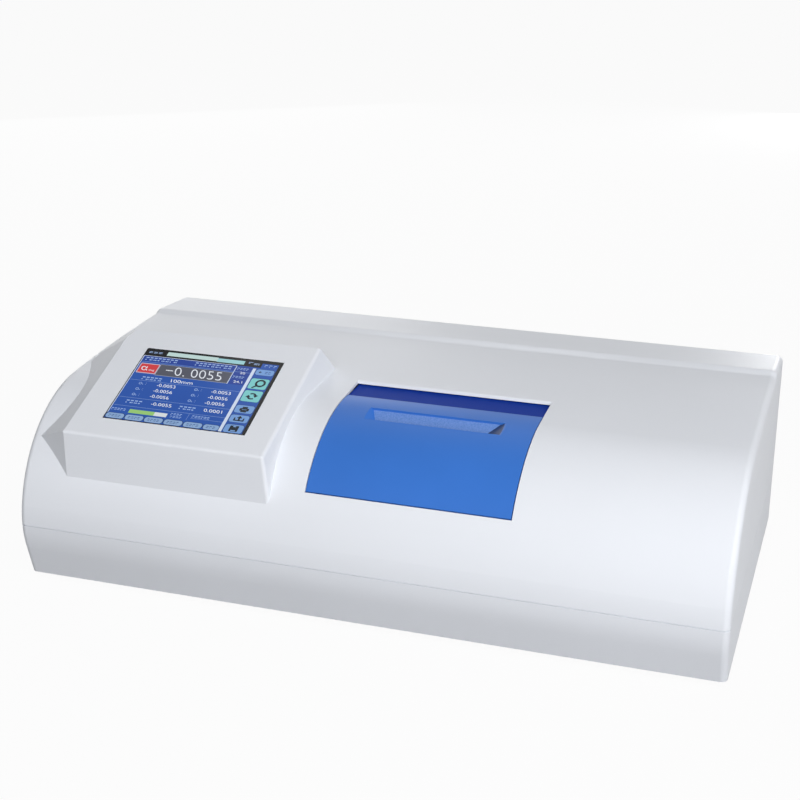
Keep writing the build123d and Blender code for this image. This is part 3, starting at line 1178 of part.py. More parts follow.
def build():
    shell = housing_shell()
    save(base_tray(shell), "base_tray")
    save(top_cover(shell), "top_cover")
    save(rear_panel(), "rear_panel")
    save(Compound([rubber_foot(x, y) for x, y in foot_places()]), "rubber_feet")
    save(Compound([screw_up(x, y, FOOT_HEIGHT - 2, WALL + 1) for x, y in foot_places()]), "foot_screws")
    save(Compound([screw_up(x, y, SCREW_SEAT, 22) for x, y in boss_places()]), "cover_screws")
    save(Compound([screw_down(x, FLANGE_Y, FLOOR_Z + PANEL_PLATE_T, PANEL_PLATE_T + 1.6)
                   for x in panel_screw_places()]), "panel_screws")

    save(touch_glass(), "touch_glass")
    save(display_frame(), "display_frame")
    save(lcd_panel(), "lcd_panel")
    save(display_bracket(), "display_bracket")
    save(display_board(), "display_board")
    save(Compound([sunk_rod(STANDOFF_R, BRACKET_DEPTH + BRACKET_THICKNESS, BOARD_DEPTH, x, y)
                   for x, y in display_standoff_places()]), "display_standoffs")
    back = BRACKET_DEPTH + BRACKET_THICKNESS
    save(Compound([sunk_rod(SCREW_HEAD_R, back, back + SCREW_HEAD_H, x, y)
                   + sunk_rod(SCREW_R, BRACKET_DEPTH - 7, back + 1, x, y)
                   for x, y in display_boss_places()]), "display_screws")

    save(door_panel(), "door_panel")
    save(door_top_strip(), "door_top_strip")
    save(door_arm(-1), "door_arm_left")
    save(door_arm(1), "door_arm_right")
    save(Compound([pivot_pin(-1), pivot_pin(1)]), "door_pivot_pins")
    save(Compound([door_buffer(-1), door_buffer(1)]), "door_buffers")
    save(Compound([door_stop(-1), door_stop(1)]), "door_stops")

    save(bulkhead(-1), "bulkhead_left")
    save(bulkhead(1), "bulkhead_right")
    save(chamber_trough(), "chamber_trough")
    save(tube_cradle(), "tube_cradle")
    save(Compound([window_glass(-1), window_glass(1)]), "beam_windows")
    save(Compound([window_ring(-1), window_ring(1)]), "window_rings")

    save(optical_bench(), "optical_bench")
    save(Compound([bench_pillar(x) for x in pillar_x()]), "bench_pillars")
    save(coil_bobbin(), "coil_bobbin")
    save(coil_winding(), "coil_winding")
    save(faraday_rod(), "faraday_rod")
    save(optic_mount(POLARISER_X0, POLARISER_X1, LENS_R + 5, LENS_R - 2), "polariser_mount")
    save(rod_x(LENS_R - 2, POLARISER_X0 + 1, POLARISER_X1 - 1, BEAM_Y, BEAM_Z), "polariser_prism")
    save(optic_mount(FILTER_X0, FILTER_X1, LENS_R + 5, LENS_R), "filter_mount")
    save(rod_x(LENS_R, FILTER_X0 + FILTER_SETBACK, FILTER_X1 - FILTER_SETBACK, BEAM_Y, BEAM_Z),
         "interference_filter")
    save(lens_tube(COLLIMATOR_X0, COLLIMATOR_X1), "collimator_tube")
    save(lens((COLLIMATOR_X0 + COLLIMATOR_X1 - LENS_T) / 2, LENS_R, LENS_T), "collimator_lens")
    save(lamp_housing(), "lamp_housing")
    save(led_lamp(), "led_lamp")
    save(lamp_heatsink(), "lamp_heatsink")
    save(analyser_housing(), "analyser_housing")
    save(analyser_gear(), "analyser_gear")
    save(analyser_prism(), "analyser_prism")
    save(motor_bracket(), "motor_bracket")
    save(drive_motor(), "drive_motor")
    save(motor_pinion(), "motor_pinion")
    save(lens_tube(CONDENSER_X0, CONDENSER_X1), "condenser_tube")
    save(lens((CONDENSER_X0 + CONDENSER_X1 - LENS_T) / 2, LENS_R, LENS_T), "condenser_lens")
    save(detector_housing(), "detector_housing")
    save(detector_board(), "detector_board")

    save(main_board(), "main_board")
    save(Compound([rod_z(STANDOFF_R, x, y, FLOOR_Z, FLOOR_Z + BOARD_STANDOFF)
                   for x, y in standoff_places()]), "board_standoffs")
    save(power_supply(), "power_supply")
    save(mains_inlet(), "mains_inlet")
    save(fuse_drawer(), "fuse_drawer")
    save(power_switch(), "power_switch")
    save(power_rocker(), "power_rocker")
    save(Compound([usb_port(x) for x in usb_places()]), "usb_ports")
    save(serial_port(), "serial_port")


build()
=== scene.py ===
import json
import math

import bmesh
import bpy
from mathutils import Matrix, Vector


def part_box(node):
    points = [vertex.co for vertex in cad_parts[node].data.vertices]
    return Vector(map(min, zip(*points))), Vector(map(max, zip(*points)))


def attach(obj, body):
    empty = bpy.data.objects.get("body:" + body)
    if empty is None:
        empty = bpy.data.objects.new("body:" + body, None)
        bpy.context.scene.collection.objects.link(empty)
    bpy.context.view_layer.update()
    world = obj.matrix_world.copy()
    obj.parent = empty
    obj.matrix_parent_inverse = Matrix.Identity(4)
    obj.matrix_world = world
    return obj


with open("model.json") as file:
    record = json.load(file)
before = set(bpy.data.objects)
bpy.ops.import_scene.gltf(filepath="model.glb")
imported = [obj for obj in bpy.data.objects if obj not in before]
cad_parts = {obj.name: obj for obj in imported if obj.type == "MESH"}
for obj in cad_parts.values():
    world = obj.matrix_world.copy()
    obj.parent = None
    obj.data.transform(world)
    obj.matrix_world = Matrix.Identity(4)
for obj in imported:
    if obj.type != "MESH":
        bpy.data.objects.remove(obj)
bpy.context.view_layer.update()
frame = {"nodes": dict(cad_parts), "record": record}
nodes = frame["nodes"]
MM = 0.001

# Camera
CAMERA_PLACE = Vector((0.4724, -1.4693, 0.7500))
CAMERA_AIM = Vector((-0.2952, 0.8900, -0.3475)).normalized()
CAMERA_LENS = 68.74
CAMERA_SENSOR = 36.0

# Stage and light
FLOOR_SIZE = 14.0
FLOOR_COLOUR = (0.25, 0.25, 0.255, 1)
FLOOR_GLOW = 1.06
FLOOR_GLOW_SHARE = 0.90
AMBIENT_COLOUR = (0.97, 0.98, 1.0, 1)
AMBIENT_LEVEL = 0.03
BACKDROP_COLOUR = (0.98, 0.98, 0.98, 1)
PART_MIDDLE = (0, -0.05, 0.12)
PART_REAR = (0, 0.1, 0.12)

# Lamps: name, place, point aimed at, side in metres and power in watts
LAMPS = (
    ("key", (1.6, -2.0, 2.1), PART_MIDDLE, 2.0, 67),
    ("key_low", (1.9, -2.4, 1.4), PART_MIDDLE, 2.4, 9),
    ("front", (0.6, -2.9, 0.9), PART_MIDDLE, 1.4, 25),
    ("left", (-1.6, -2.0, 2.0), PART_MIDDLE, 1.6, 7),
    ("right", (2.8, -0.6, 1.2), PART_MIDDLE, 1.4, 14),
    ("rear", (-0.8, 1.5, 2.5), PART_MIDDLE, 1.4, 8),
    ("back", (-1.5, 2.3, 0.8), PART_MIDDLE, 1.6, 13),
    ("back_low", (0.4, 3.0, 0.24), PART_REAR, 0.5, 18),
)

# Finger pocket of the door: the drum's axis and radius in metres, the depth from which a point
# counts as sunk, and a box round the pocket, as its centre and half size in millimetres
DRUM_AXIS = (0.0, -0.06379, 0.0556)
DRUM_RADIUS = 0.1416
POCKET_SUNK = 0.7 * MM
POCKET = ((52.5, -97.0, 188.0), (74.0, 22.0, 16.0))
FACES_OUT = 0.8  # least share of the normal that points away from the axis, on the floor
LEVEL = 0.15  # most share of the normal that points sideways, on the floor
# Painted light on the pocket floor, which faces up: two paler colours with a grain between them.
# Painted shade on the pocket's right end, which faces away from the light.
POCKET_FLOOR_GRAIN_AND_PAINTED_LIGHT = ((0.105, 0.225, 0.56), (0.175, 0.305, 0.68))
POCKET_END_PAINTED_SHADE = (0.030, 0.060, 0.17)

# Small parts of the connectors, each a box given by its centre and half size in millimetres
INLET_BLADES = ((275.0, 190.0, 70.0), (8.2, 8.7, 4.7))
USB_TONGUES = [((x, 194.0, 70.9), (5.4, 7.3, 1.05)) for x in (-180.0, -150.0)]
SERIAL_X, SERIAL_FACE = -265.0, 204.2
SERIAL_INSERT = ((SERIAL_X, SERIAL_FACE, 70.0), (7.0, 0.3, 3.2))
CONTACT_PITCH = 2.77
CONTACT_ROWS = ((71.4, (-2, -1, 0, 1, 2)), (68.6, (-1.5, -0.5, 0.5, 1.5)))
SERIAL_CONTACTS = [((SERIAL_X + CONTACT_PITCH * step, SERIAL_FACE, z), (0.55, 0.3, 0.55))
                   for z, steps in CONTACT_ROWS for step in steps]

# Marks on the power rocker: a line's box in millimetres, and a ring's middle and sizes in metres
ROCKER_LINE = ((215.0, 202.0, 75.8), (0.45, 6.0, 2.0))
ROCKER_RING_MIDDLE = (0.2150, 0, 0.0638)
ROCKER_RING_RADIUS = 1.8 * MM
ROCKER_RING_HALF_WIDTH = 0.35 * MM
ROCKER_FACE_FROM = 0.196  # the ring is drawn only behind this Y

# Shared colours
WHITE = (0.765, 0.79, 0.84)
BRIGHT_STEEL = (0.62, 0.62, 0.63)
BLACK_MOULDING = (0.02, 0.02, 0.022)

# Display: how much of its colour a lit area shows as base and as glow, the glow's strength and the
# gloss
LIT_BASE = (0.33, 0.35)
LIT_TONES = (0.95, 1.0)
LIT_GLOW = 0.68
LIT_GLOSS = 0.12


def add_camera():
    right = CAMERA_AIM.cross(Vector((0, 0, 1))).normalized()
    up = right.cross(CAMERA_AIM)
    camera = bpy.data.objects.new("camera", bpy.data.cameras.new("camera"))
    camera.data.lens = CAMERA_LENS
    camera.data.sensor_width = CAMERA_SENSOR
    turn = Matrix((right, up, -CAMERA_AIM)).transposed().to_4x4()
    camera.matrix_world = Matrix.Translation(CAMERA_PLACE) @ turn
    bpy.context.scene.collection.objects.link(camera)
    bpy.context.scene.camera = camera


# Node graphs
def new_material(name):
    """An empty node material with its output and one Principled shader."""
    material = bpy.data.materials.new(name)
    material.use_nodes = True
    tree = material.node_tree
    tree.nodes.clear()
    shader = tree.nodes.new("ShaderNodeBsdfPrincipled")
    output = tree.nodes.new("ShaderNodeOutputMaterial")
    tree.links.new(shader.outputs["BSDF"], output.inputs["Surface"])
    return material, tree, shader


def shader_of(material):
    return next(node for node in material.node_tree.nodes if node.type == "BSDF_PRINCIPLED")


def place_on_object(tree, scale=(1, 1, 1)):
    """The point's place in the part's frame at rest, stretched along each axis."""
    coords = tree.nodes.new("ShaderNodeTexCoord")
    mapping = tree.nodes.new("ShaderNodeMapping")
    mapping.inputs["Scale"].default_value = scale
    tree.links.new(coords.outputs["Object"], mapping.inputs["Vector"])
    return mapping.outputs["Vector"]


def noise(tree, vector, scale, detail=2.0):
    texture = tree.nodes.new("ShaderNodeTexNoise")
    texture.inputs["Scale"].default_value = scale
    texture.inputs["Detail"].default_value = detail
    tree.links.new(vector, texture.inputs["Vector"])
    return texture.outputs["Fac"]


def ramp(tree, factor, low, high, low_at=0.3, high_at=0.7):
    """Colours between low and high, following a factor."""
    mix = tree.nodes.new("ShaderNodeValToRGB")
    ends = mix.color_ramp.elements
    ends[0].position, ends[1].position = low_at, high_at
    ends[0].color, ends[1].color = (*low, 1), (*high, 1)
    tree.links.new(factor, mix.inputs["Fac"])
    return mix.outputs["Color"]


def spread(tree, factor, low, high):
    """A number between low and high, following a factor."""
    span = tree.nodes.new("ShaderNodeMapRange")
    span.inputs["To Min"].default_value = low
    span.inputs["To Max"].default_value = high
    tree.links.new(factor, span.inputs["Value"])
    return span.outputs["Result"]


def uneven_gloss(tree, shader, factor, low, high):
    """A roughness between low and high, following a factor."""
    tree.links.new(spread(tree, factor, low, high), shader.inputs["Roughness"])


def bump(tree, shader, height, strength, distance):
    node = tree.nodes.new("ShaderNodeBump")
    node.inputs["Strength"].default_value = strength
    node.inputs["Distance"].default_value = distance
    tree.links.new(height, node.inputs["Height"])
    tree.links.new(node.outputs["Normal"], shader.inputs["Normal"])


def shade(colour, share):
    return tuple(min(1.0, channel * share) for channel in colour)


def arithmetic(tree, operation, first, second):
    """A number node of two inputs; either may be a plain number."""
    node = tree.nodes.new("ShaderNodeMath")
    node.operation = operation
    for socket, value in zip(node.inputs, (first, second)):
        if isinstance(value, (int, float)):
            socket.default_value = value
        else:
            tree.links.new(value, socket)
    return node.outputs[0]


def vector_step(tree, operation, first, second=None):
    """A vector node whose second input, where it has one, is a plain vector or a link."""
    node = tree.nodes.new("ShaderNodeVectorMath")
    node.operation = operation
    tree.links.new(first, node.inputs[0])
    if isinstance(second, tuple):
        node.inputs[1].default_value = second
    elif second is not None:
        tree.links.new(second, node.inputs[1])
    gives_number = operation in ("LENGTH", "DOT_PRODUCT")
    return node.outputs["Value" if gives_number else "Vector"]


def split(tree, vector):
    node = tree.nodes.new("ShaderNodeSeparateXYZ")
    tree.links.new(vector, node.inputs[0])
    return node.outputs


def inside(tree, vector, centre, half):
    """1 where the vector lies in a box, given in millimetres, and 0 elsewhere."""
    moved = vector_step(tree, "SUBTRACT", vector, tuple(MM * value for value in centre))
    size = vector_step(tree, "ABSOLUTE", moved)
    over = split(tree, vector_step(tree, "SUBTRACT", size, tuple(MM * value for value in half)))
    widest = arithmetic(tree, "MAXIMUM", arithmetic(tree, "MAXIMUM", over[0], over[1]), over[2])
    return arithmetic(tree, "LESS_THAN", widest, 0.0)


def either(tree, masks):
    """1 where any mask is 1."""
    total = masks[0]
    for mask in masks[1:]:
        total = arithmetic(tree, "MAXIMUM", total, mask)
    return total


def both(tree, first, second):
    """1 where both masks are 1."""
    return arithmetic(tree, "MULTIPLY", first, second)


def overlay(tree, shader, mask, colour, metallic=None):
    """A second colour over the base, where the mask is 1, with its own metallic share."""
    base = shader.inputs["Base Color"].links[0].from_socket
    mix = tree.nodes.new("ShaderNodeMix")
    mix.data_type = "RGBA"
    under, over = [socket for socket in mix.inputs if socket.type == "RGBA"]
    mixed = next(socket for socket in mix.outputs if socket.type == "RGBA")
    tree.links.new(mask, mix.inputs["Factor"])
    tree.links.new(base, under)
    if isinstance(colour, tuple):
        over.default_value = (*colour, 1)
    else:
        tree.links.new(colour, over)
    tree.links.new(mixed, shader.inputs["Base Color"])
    if metallic is not None:
        share = spread(tree, mask, shader.inputs["Metallic"].default_value, metallic)
        tree.links.new(share, shader.inputs["Metallic"])


# Finishes
def surface(name, colour, roughness, metallic=0.0, tone=0.03, tone_scale=9.0, gloss=0.5,
            grain=900.0, grain_bump=0.15, grain_depth=0.0001, rough_spread=0.05, stretch=(1, 1, 1)):
    """A finish with slow tone changes, a fine grain and an uneven gloss."""
    material, tree, shader = new_material(name)
    vector = place_on_object(tree, stretch)
    tones = noise(tree, vector, tone_scale, detail=3.0)
    tree.links.new(ramp(tree, tones, shade(colour, 1 - tone), shade(colour, 1 + tone)),
                   shader.inputs["Base Color"])
    fine = noise(tree, vector, grain)
    uneven_gloss(tree, shader, fine, roughness - rough_spread, roughness + rough_spread)
    bump(tree, shader, fine, grain_bump, grain_depth)
    shader.inputs["Metallic"].default_value = metallic
    shader.inputs["Specular IOR Level"].default_value = gloss
    return material


def door_plastic(name):
    """Blue moulding whose finger pocket has a floor made paler by painted light, with a grain, and a
    right end darkened by painted shade.
    """
    material = surface(name, (0.042, 0.170, 0.58), 0.38, tone_scale=14.0, gloss=0.14,
                       grain=1200.0, grain_bump=0.05, grain_depth=0.00003, rough_spread=0.03)
    tree, shader = material.node_tree, shader_of(material)
    place = place_on_object(tree)
    off_axis = vector_step(tree, "SUBTRACT", place, DRUM_AXIS)
    from_axis = vector_step(tree, "MULTIPLY", off_axis, (0, 1, 1))
    radius = vector_step(tree, "LENGTH", from_axis)
    sunk = arithmetic(tree, "LESS_THAN", radius, DRUM_RADIUS - POCKET_SUNK)
    pocket = both(tree, sunk, inside(tree, place, *POCKET))

    normal = tree.nodes.new("ShaderNodeTexCoord").outputs["Normal"]
    outward = vector_step(tree, "DOT_PRODUCT", normal, vector_step(tree, "NORMALIZE", from_axis))
    faces_out = arithmetic(tree, "GREATER_THAN", outward, FACES_OUT)
    sideways = split(tree, normal)[0]
    level = arithmetic(tree, "LESS_THAN", arithmetic(tree, "ABSOLUTE", sideways, 0.0), LEVEL)
    # The floor, facing out from the drum, gets painted light over a grain; the right end, facing left,
    # gets painted shade.
    floor = both(tree, both(tree, faces_out, level), pocket)
    right_end_painted_shade = both(tree, arithmetic(tree, "LESS_THAN", sideways, -LEVEL), pocket)
    floor_grain_and_painted_light = ramp(tree, noise(tree, place, 700.0, detail=3.0), *POCKET_FLOOR_GRAIN_AND_PAINTED_LIGHT)
    overlay(tree, shader, floor, floor_grain_and_painted_light)
    overlay(tree, shader, right_end_painted_shade, POCKET_END_PAINTED_SHADE)
    return material


def inlet_plastic(name):
    """Black connector body with bright blades in its socket."""
    material = surface(name, BLACK_MOULDING, 0.5, grain=1600.0, grain_bump=0.3)
    tree = material.node_tree
    blades = inside(tree, place_on_object(tree), *INLET_BLADES)
    overlay(tree, shader_of(material), blades, (0.60, 0.60, 0.60), metallic=1.0)
    return material


def usb_steel(name):
    """Bright port shells with dark tongues."""
    material = surface(name, BRIGHT_STEEL, 0.28, metallic=1.0, grain=1500.0)
    tree = material.node_tree
    place = place_on_object(tree)
    tongues = either(tree, [inside(tree, place, *tongue) for tongue in USB_TONGUES])
    overlay(tree, shader_of(material), tongues, (0.015, 0.015, 0.017), metallic=0.0)
    return material


def serial_steel(name):
    """Bright nine-way shell with a dark insert and its two rows of contacts."""
    material = surface(name, BRIGHT_STEEL, 0.3, metallic=1.0, grain=1500.0)
    tree, shader = material.node_tree, shader_of(material)
    place = place_on_object(tree)
    insert = inside(tree, place, *SERIAL_INSERT)
    overlay(tree, shader, insert, (0.02, 0.024, 0.03), metallic=0.0)
    contacts = either(tree, [inside(tree, place, *contact) for contact in SERIAL_CONTACTS])
    overlay(tree, shader, contacts, (0.75, 0.58, 0.25))
    return material


def rocker_plastic(name):
    """Black rocker with a white line on its upper wing and a white ring on its lower one."""
    material = surface(name, (0.024, 0.024, 0.026), 0.42, grain=1600.0, grain_bump=0.2)
    tree = material.node_tree
    place = place_on_object(tree)
    line = inside(tree, place, *ROCKER_LINE)
    off_middle = vector_step(tree, "SUBTRACT", place, ROCKER_RING_MIDDLE)
    radius = vector_step(tree, "LENGTH", vector_step(tree, "MULTIPLY", off_middle, (1, 0, 1)))
    off_ring = arithmetic(tree, "SUBTRACT", radius, ROCKER_RING_RADIUS)
    off_ring = arithmetic(tree, "ABSOLUTE", off_ring, 0.0)
    ring = arithmetic(tree, "LESS_THAN", off_ring, ROCKER_RING_HALF_WIDTH)
    outer = arithmetic(tree, "GREATER_THAN", split(tree, place)[1], ROCKER_FACE_FROM)
    marks = either(tree, [line, both(tree, ring, outer)])
    overlay(tree, shader_of(material), marks, (0.8, 0.8, 0.8))
    return material


def circuit_board(name):
    """Green solder mask with copper tracks that show through it."""
    material, tree, shader = new_material(name)
    vector = place_on_object(tree)
    cells = tree.nodes.new("ShaderNodeTexBrick")
    cells.inputs["Scale"].default_value = 190.0
    cells.inputs["Mortar Size"].default_value = 0.06
    cells.inputs["Color1"].default_value = (0.012, 0.15, 0.05, 1)
    cells.inputs["Color2"].default_value = (0.016, 0.19, 0.065, 1)
    cells.inputs["Mortar"].default_value = (0.05, 0.36, 0.14, 1)
    tree.links.new(vector, cells.inputs["Vector"])
    tree.links.new(cells.outputs["Color"], shader.inputs["Base Color"])
    uneven_gloss(tree, shader, noise(tree, vector, 400.0), 0.25, 0.4)
    bump(tree, shader, cells.outputs["Fac"], strength=0.3, distance=0.00005)
    return material


def wound_wire(name):
    """Enamelled copper wire, wound round the X axis, with painted shade in darker bands between the
    turns.
    """
    material, tree, shader = new_material(name)
    vector = place_on_object(tree)
    wave = tree.nodes.new("ShaderNodeTexWave")
    wave.bands_direction = "X"
    wave.inputs["Scale"].default_value = 500.0
    wave.inputs["Distortion"].default_value = 0.3
    tree.links.new(vector, wave.inputs["Vector"])
    turns_with_painted_shade = ramp(tree, wave.outputs["Fac"], (0.25, 0.07, 0.02), (0.72, 0.30, 0.12))
    tree.links.new(turns_with_painted_shade, shader.inputs["Base Color"])
    uneven_gloss(tree, shader, noise(tree, vector, 60.0), 0.25, 0.4)
    shader.inputs["Metallic"].default_value = 0.7
    bump(tree, shader, wave.outputs["Fac"], strength=0.8, distance=0.0003)
    return material


def clear_glass(name, colour):
    material, tree, shader = new_material(name)
    vector = place_on_object(tree)
    tones = ramp(tree, noise(tree, vector, 20.0), shade(colour, 0.97), colour)
    tree.links.new(tones, shader.inputs["Base Color"])
    uneven_gloss(tree, shader, noise(tree, vector, 60.0), 0.01, 0.04)
    shader.inputs["Transmission Weight"].default_value = 1.0
    shader.inputs["IOR"].default_value = 1.5
    return material


def lit(name, colour):
    """A lit area of the display: mostly its own glow, over a darker base of the same colour."""
    material, tree, shader = new_material(name)
    vector = place_on_object(tree)
    tones = noise(tree, vector, 25.0)
    base = ramp(tree, tones, *[shade(colour, share) for share in LIT_BASE])
    glow = ramp(tree, tones, *[shade(colour, share) for share in LIT_TONES])
    tree.links.new(base, shader.inputs["Base Color"])
    tree.links.new(glow, shader.inputs["Emission Color"])
    uneven_gloss(tree, shader, noise(tree, vector, 300.0), 0.10, 0.14)
    shader.inputs["Emission Strength"].default_value = LIT_GLOW
    shader.inputs["Specular IOR Level"].default_value = LIT_GLOSS
    return material


# Finishes of the CAD nodes, by the record's material slot
SLOTS = {
    "cover_plastic": surface("cover_plastic", WHITE, 0.42, gloss=0.22, tone=0.012, tone_scale=5.0,
                             grain=1400.0, grain_bump=0.10, grain_depth=0.00006),
    "tray_plastic": surface("tray_plastic", WHITE, 0.44, gloss=0.22, tone=0.015, tone_scale=5.0,
                            grain=1400.0, grain_bump=0.12, grain_depth=0.00006),
    "panel_steel": surface("panel_steel", (0.52, 0.53, 0.545), 0.5, tone=0.02, grain=1800.0,
                           grain_bump=0.3, grain_depth=0.0002),
    "rubber_black": surface("rubber_black", (0.022, 0.022, 0.023), 0.75, grain=1200.0,
                            grain_bump=0.35, grain_depth=0.0002),
    "screw_steel": surface("screw_steel", BRIGHT_STEEL, 0.28, metallic=1.0, grain=1500.0),
    "touch_glass": surface("touch_glass", (0.006, 0.006, 0.008), 0.07, gloss=0.12, tone=0.1,
                           grain=50.0, grain_bump=0.02, grain_depth=0.00001, rough_spread=0.02),
    "black_plastic": surface("black_plastic", BLACK_MOULDING, 0.5, grain=1600.0, grain_bump=0.3),
    "lcd": lit("lcd", (0.02, 0.10, 0.45)),
    "sheet_steel": surface("sheet_steel", (0.56, 0.57, 0.58), 0.35, metallic=1.0, tone=0.05,
                           stretch=(1, 12, 12), grain=260.0),
    "circuit_board": circuit_board("circuit_board"),
    "brass": surface("brass", (0.72, 0.53, 0.22), 0.27, metallic=1.0, grain=1100.0),
    "door_blue": door_plastic("door_blue"),
    # The strip under the roof edge: its dark blue is partly its own colour and partly painted shade,
    # for the little light it gets as it faces up.
    "door_dark_blue": surface("door_dark_blue", (0.004, 0.036, 0.32), 0.5, gloss=0.03,
                              grain=1200.0, grain_bump=0.05, grain_depth=0.00003,
                              rough_spread=0.03),
    "black_metal": surface("black_metal", (0.018, 0.018, 0.02), 0.55, grain=1800.0,
                           grain_bump=0.35),
    "anodised": surface("anodised", (0.045, 0.045, 0.05), 0.38, metallic=0.6, grain=1600.0,
                        grain_bump=0.2, grain_depth=0.00005),
    "optical_glass": clear_glass("optical_glass", (0.93, 0.97, 0.98)),
    "copper": wound_wire("copper"),
    "filter_amber": clear_glass("filter_amber", (0.95, 0.5, 0.06)),
    "motor_black": surface("motor_black", (0.03, 0.03, 0.033), 0.42, metallic=0.3, grain=1300.0),
}

# Nodes whose finish changes within the solid
OWN_FINISH = {
    "mains_inlet": inlet_plastic("inlet_plastic"),
    "usb_ports": usb_steel("usb_steel"),
    "serial_port": serial_steel("serial_steel"),
    "power_rocker": rocker_plastic("rocker_plastic"),
}


def dress_cad_nodes():
    for row in frame["record"]["subparts"]:
        mesh = nodes[row["node"]].data
        mesh.materials.clear()
        mesh.materials.append(OWN_FINISH.get(row["node"]) or SLOTS[row["material_slot"]])


# Display window: the touch glass's place in metres, then sizes in millimetres and a tilt in degrees
GLASS_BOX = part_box("touch_glass")
GLASS_CENTRE = (GLASS_BOX[0] + GLASS_BOX[1]) / 2
GLASS_HALF = 1.5
WINDOW_W = 160.5
WINDOW_H = 116.0
TILT = 21.3
CORNER_STEPS = 5
RING_STEPS = 24
LETTER_LEAN = 0.25  # shift of a letter's top to the left, per unit of its height

# Display layers: colour, height in millimetres, and plain boxes.
# A box is its left, bottom, right and top as shares of the window, then a corner radius in
# millimetres where it has one.
LAYERS = {
    "screen_field": ((0.018, 0.084, 0.385), 0.04, [
        (0.010, 0.010, 0.975, 0.893), (0.858, 0.893, 0.975, 0.955)]),
    "screen_title": ((0.014, 0.050, 0.30), 0.05, [
        (0.014, 0.806, 0.690, 0.890), (0.698, 0.632, 0.810, 0.886)]),
    "screen_bars": ((0.084, 0.089, 0.120), 0.07, [(0.170, 0.640, 0.690, 0.786)]),
    "screen_status": ((0.52, 0.69, 0.67), 0.07, [(0.166, 0.918, 0.536, 0.970)]),
    "screen_signal": ((0.32, 0.61, 0.65), 0.07, [(0.536, 0.912, 0.732, 0.962)]),
    "screen_lines": ((0.17, 0.28, 0.58), 0.08, [
        (0.562, 0.100, 0.565, 0.186), (0.585, 0.128, 0.812, 0.132)]),
    "screen_trim": ((0.62, 0.70, 0.85), 0.08, [
        (0.008, 0.084, 0.013, 0.893), (0.013, 0.888, 0.692, 0.893),
        (0.690, 0.632, 0.695, 0.882), (0.812, 0.012, 0.834, 0.876)]),
    "screen_frames": ((0.30, 0.33, 0.42), 0.06, [(0.166, 0.634, 0.694, 0.791)]),
    "screen_badge": ((0.60, 0.045, 0.052), 0.08, [(0.030, 0.655, 0.160, 0.775, 0.8)]),
    "screen_badge_edge": ((0.58, 0.48, 0.56), 0.06, [(0.024, 0.645, 0.166, 0.785, 1.2)]),
    "screen_button_edges": ((0.016, 0.055, 0.20), 0.06, []),
    "screen_buttons": ((0.25, 0.39, 0.63), 0.08, []),
    "screen_side_buttons": ((0.17, 0.33, 0.66), 0.08, []),
    "screen_keys": ((0.19, 0.56, 0.57), 0.08, []),
    "screen_progress": ((0.30, 0.56, 0.17), 0.09, [(0.150, 0.103, 0.330, 0.152)]),
    "screen_range": ((0.68, 0.72, 0.74), 0.09, [(0.330, 0.103, 0.420, 0.152)]),
    "screen_marks": ((0.80, 0.84, 0.92), 0.10, []),
    "screen_labels": ((0.34, 0.49, 0.80), 0.10, []),
    "screen_captions": ((0.035, 0.085, 0.26), 0.11, []),
    "screen_icons": ((0.006, 0.014, 0.024), 0.12, [
        (0.874, 0.302, 0.938, 0.338, 1.0), (0.888, 0.338, 0.924, 0.358, 0.4),
        (0.886, 0.286, 0.926, 0.302, 0.4), (0.870, 0.168, 0.942, 0.182, 0.3),
        (0.870, 0.168, 0.880, 0.208, 0.3), (0.932, 0.168, 0.942, 0.208, 0.3),
        (0.876, 0.030, 0.936, 0.104, 0.8)]),
    "screen_disk": ((0.20, 0.36, 0.66), 0.15, [
        (0.897, 0.087, 0.915, 0.101, 0.2), (0.890, 0.034, 0.922, 0.047, 0.2),
        (0.890, 0.318, 0.922, 0.322)]),
}

# Rules across the field: their heights, ends and half thickness
RULE_ROWS = (0.806, 0.545, 0.302, 0.188)
RULE_ENDS = (0.022, 0.812)
RULE_HALF = 0.0022

# Tabs along the bottom, and keys up the right side
TAB_COUNT = 6
TAB_LEFT, TAB_PITCH = 0.012, 0.138
TAB_WIDTH, LAST_TAB_WIDTH = 0.126, 0.106
TAB_BOTTOM, TAB_TOP = 0.015, 0.080
TAB_RADIUS = 3.0
TAB_EDGE_BESIDE, TAB_EDGE_BELOW = 0.006, 0.004
KEY_LEFT, KEY_RIGHT = 0.842, 0.969
KEYS = (("screen_side_buttons", 2.8, ((0.795, 0.872), (0.275, 0.375), (0.150, 0.245), (0.014, 0.118))),
        ("screen_keys", 2.4, ((0.604, 0.745), (0.430, 0.578))))
KEY_EDGE_BESIDE, KEY_EDGE_BELOW = 0.005, 0.003
EDGE_ABOVE = 0.006
EDGE_RADIUS = 0.6

# Print on the tabs: words to a tab, the first one's inset, their pitch, and middle height, width
# and height
TAB_WORDS, LAST_TAB_WORDS = 4, 3
TAB_WORD_INSET, TAB_WORD_PITCH = 0.020, 0.022
TAB_WORD = (0.047, 0.015, 0.026)

# Numbers: text, left, right and middle height in the window, and letter height in millimetres
READING = ("\u22120. 0055", 0.225, 0.632, 0.716, 13.2)
READING_THIN = 0.012
NUMBERS = (
    ("\u03b1", 0.046, 0.092, 0.712, 6.6), ("deg", 0.104, 0.146, 0.694, 3.4),
    ("-0.0053", 0.228, 0.362, 0.506, 4.7), ("-0.0053", 0.620, 0.758, 0.506, 4.7),
    ("-0.0056", 0.228, 0.362, 0.429, 4.7), ("-0.0056", 0.620, 0.758, 0.429, 4.7),
    ("-0.0056", 0.228, 0.362, 0.352, 4.7), ("-0.0056", 0.620, 0.758, 0.352, 4.7),
    ("-0.0055", 0.268, 0.413, 0.254, 4.7), ("0.0001", 0.643, 0.771, 0.254, 4.7),
    ("100mm", 0.305, 0.462, 0.584, 4.9), ("24.1", 0.728, 0.790, 0.672, 3.4),
    ("20", 0.740, 0.776, 0.796, 3.4),
)

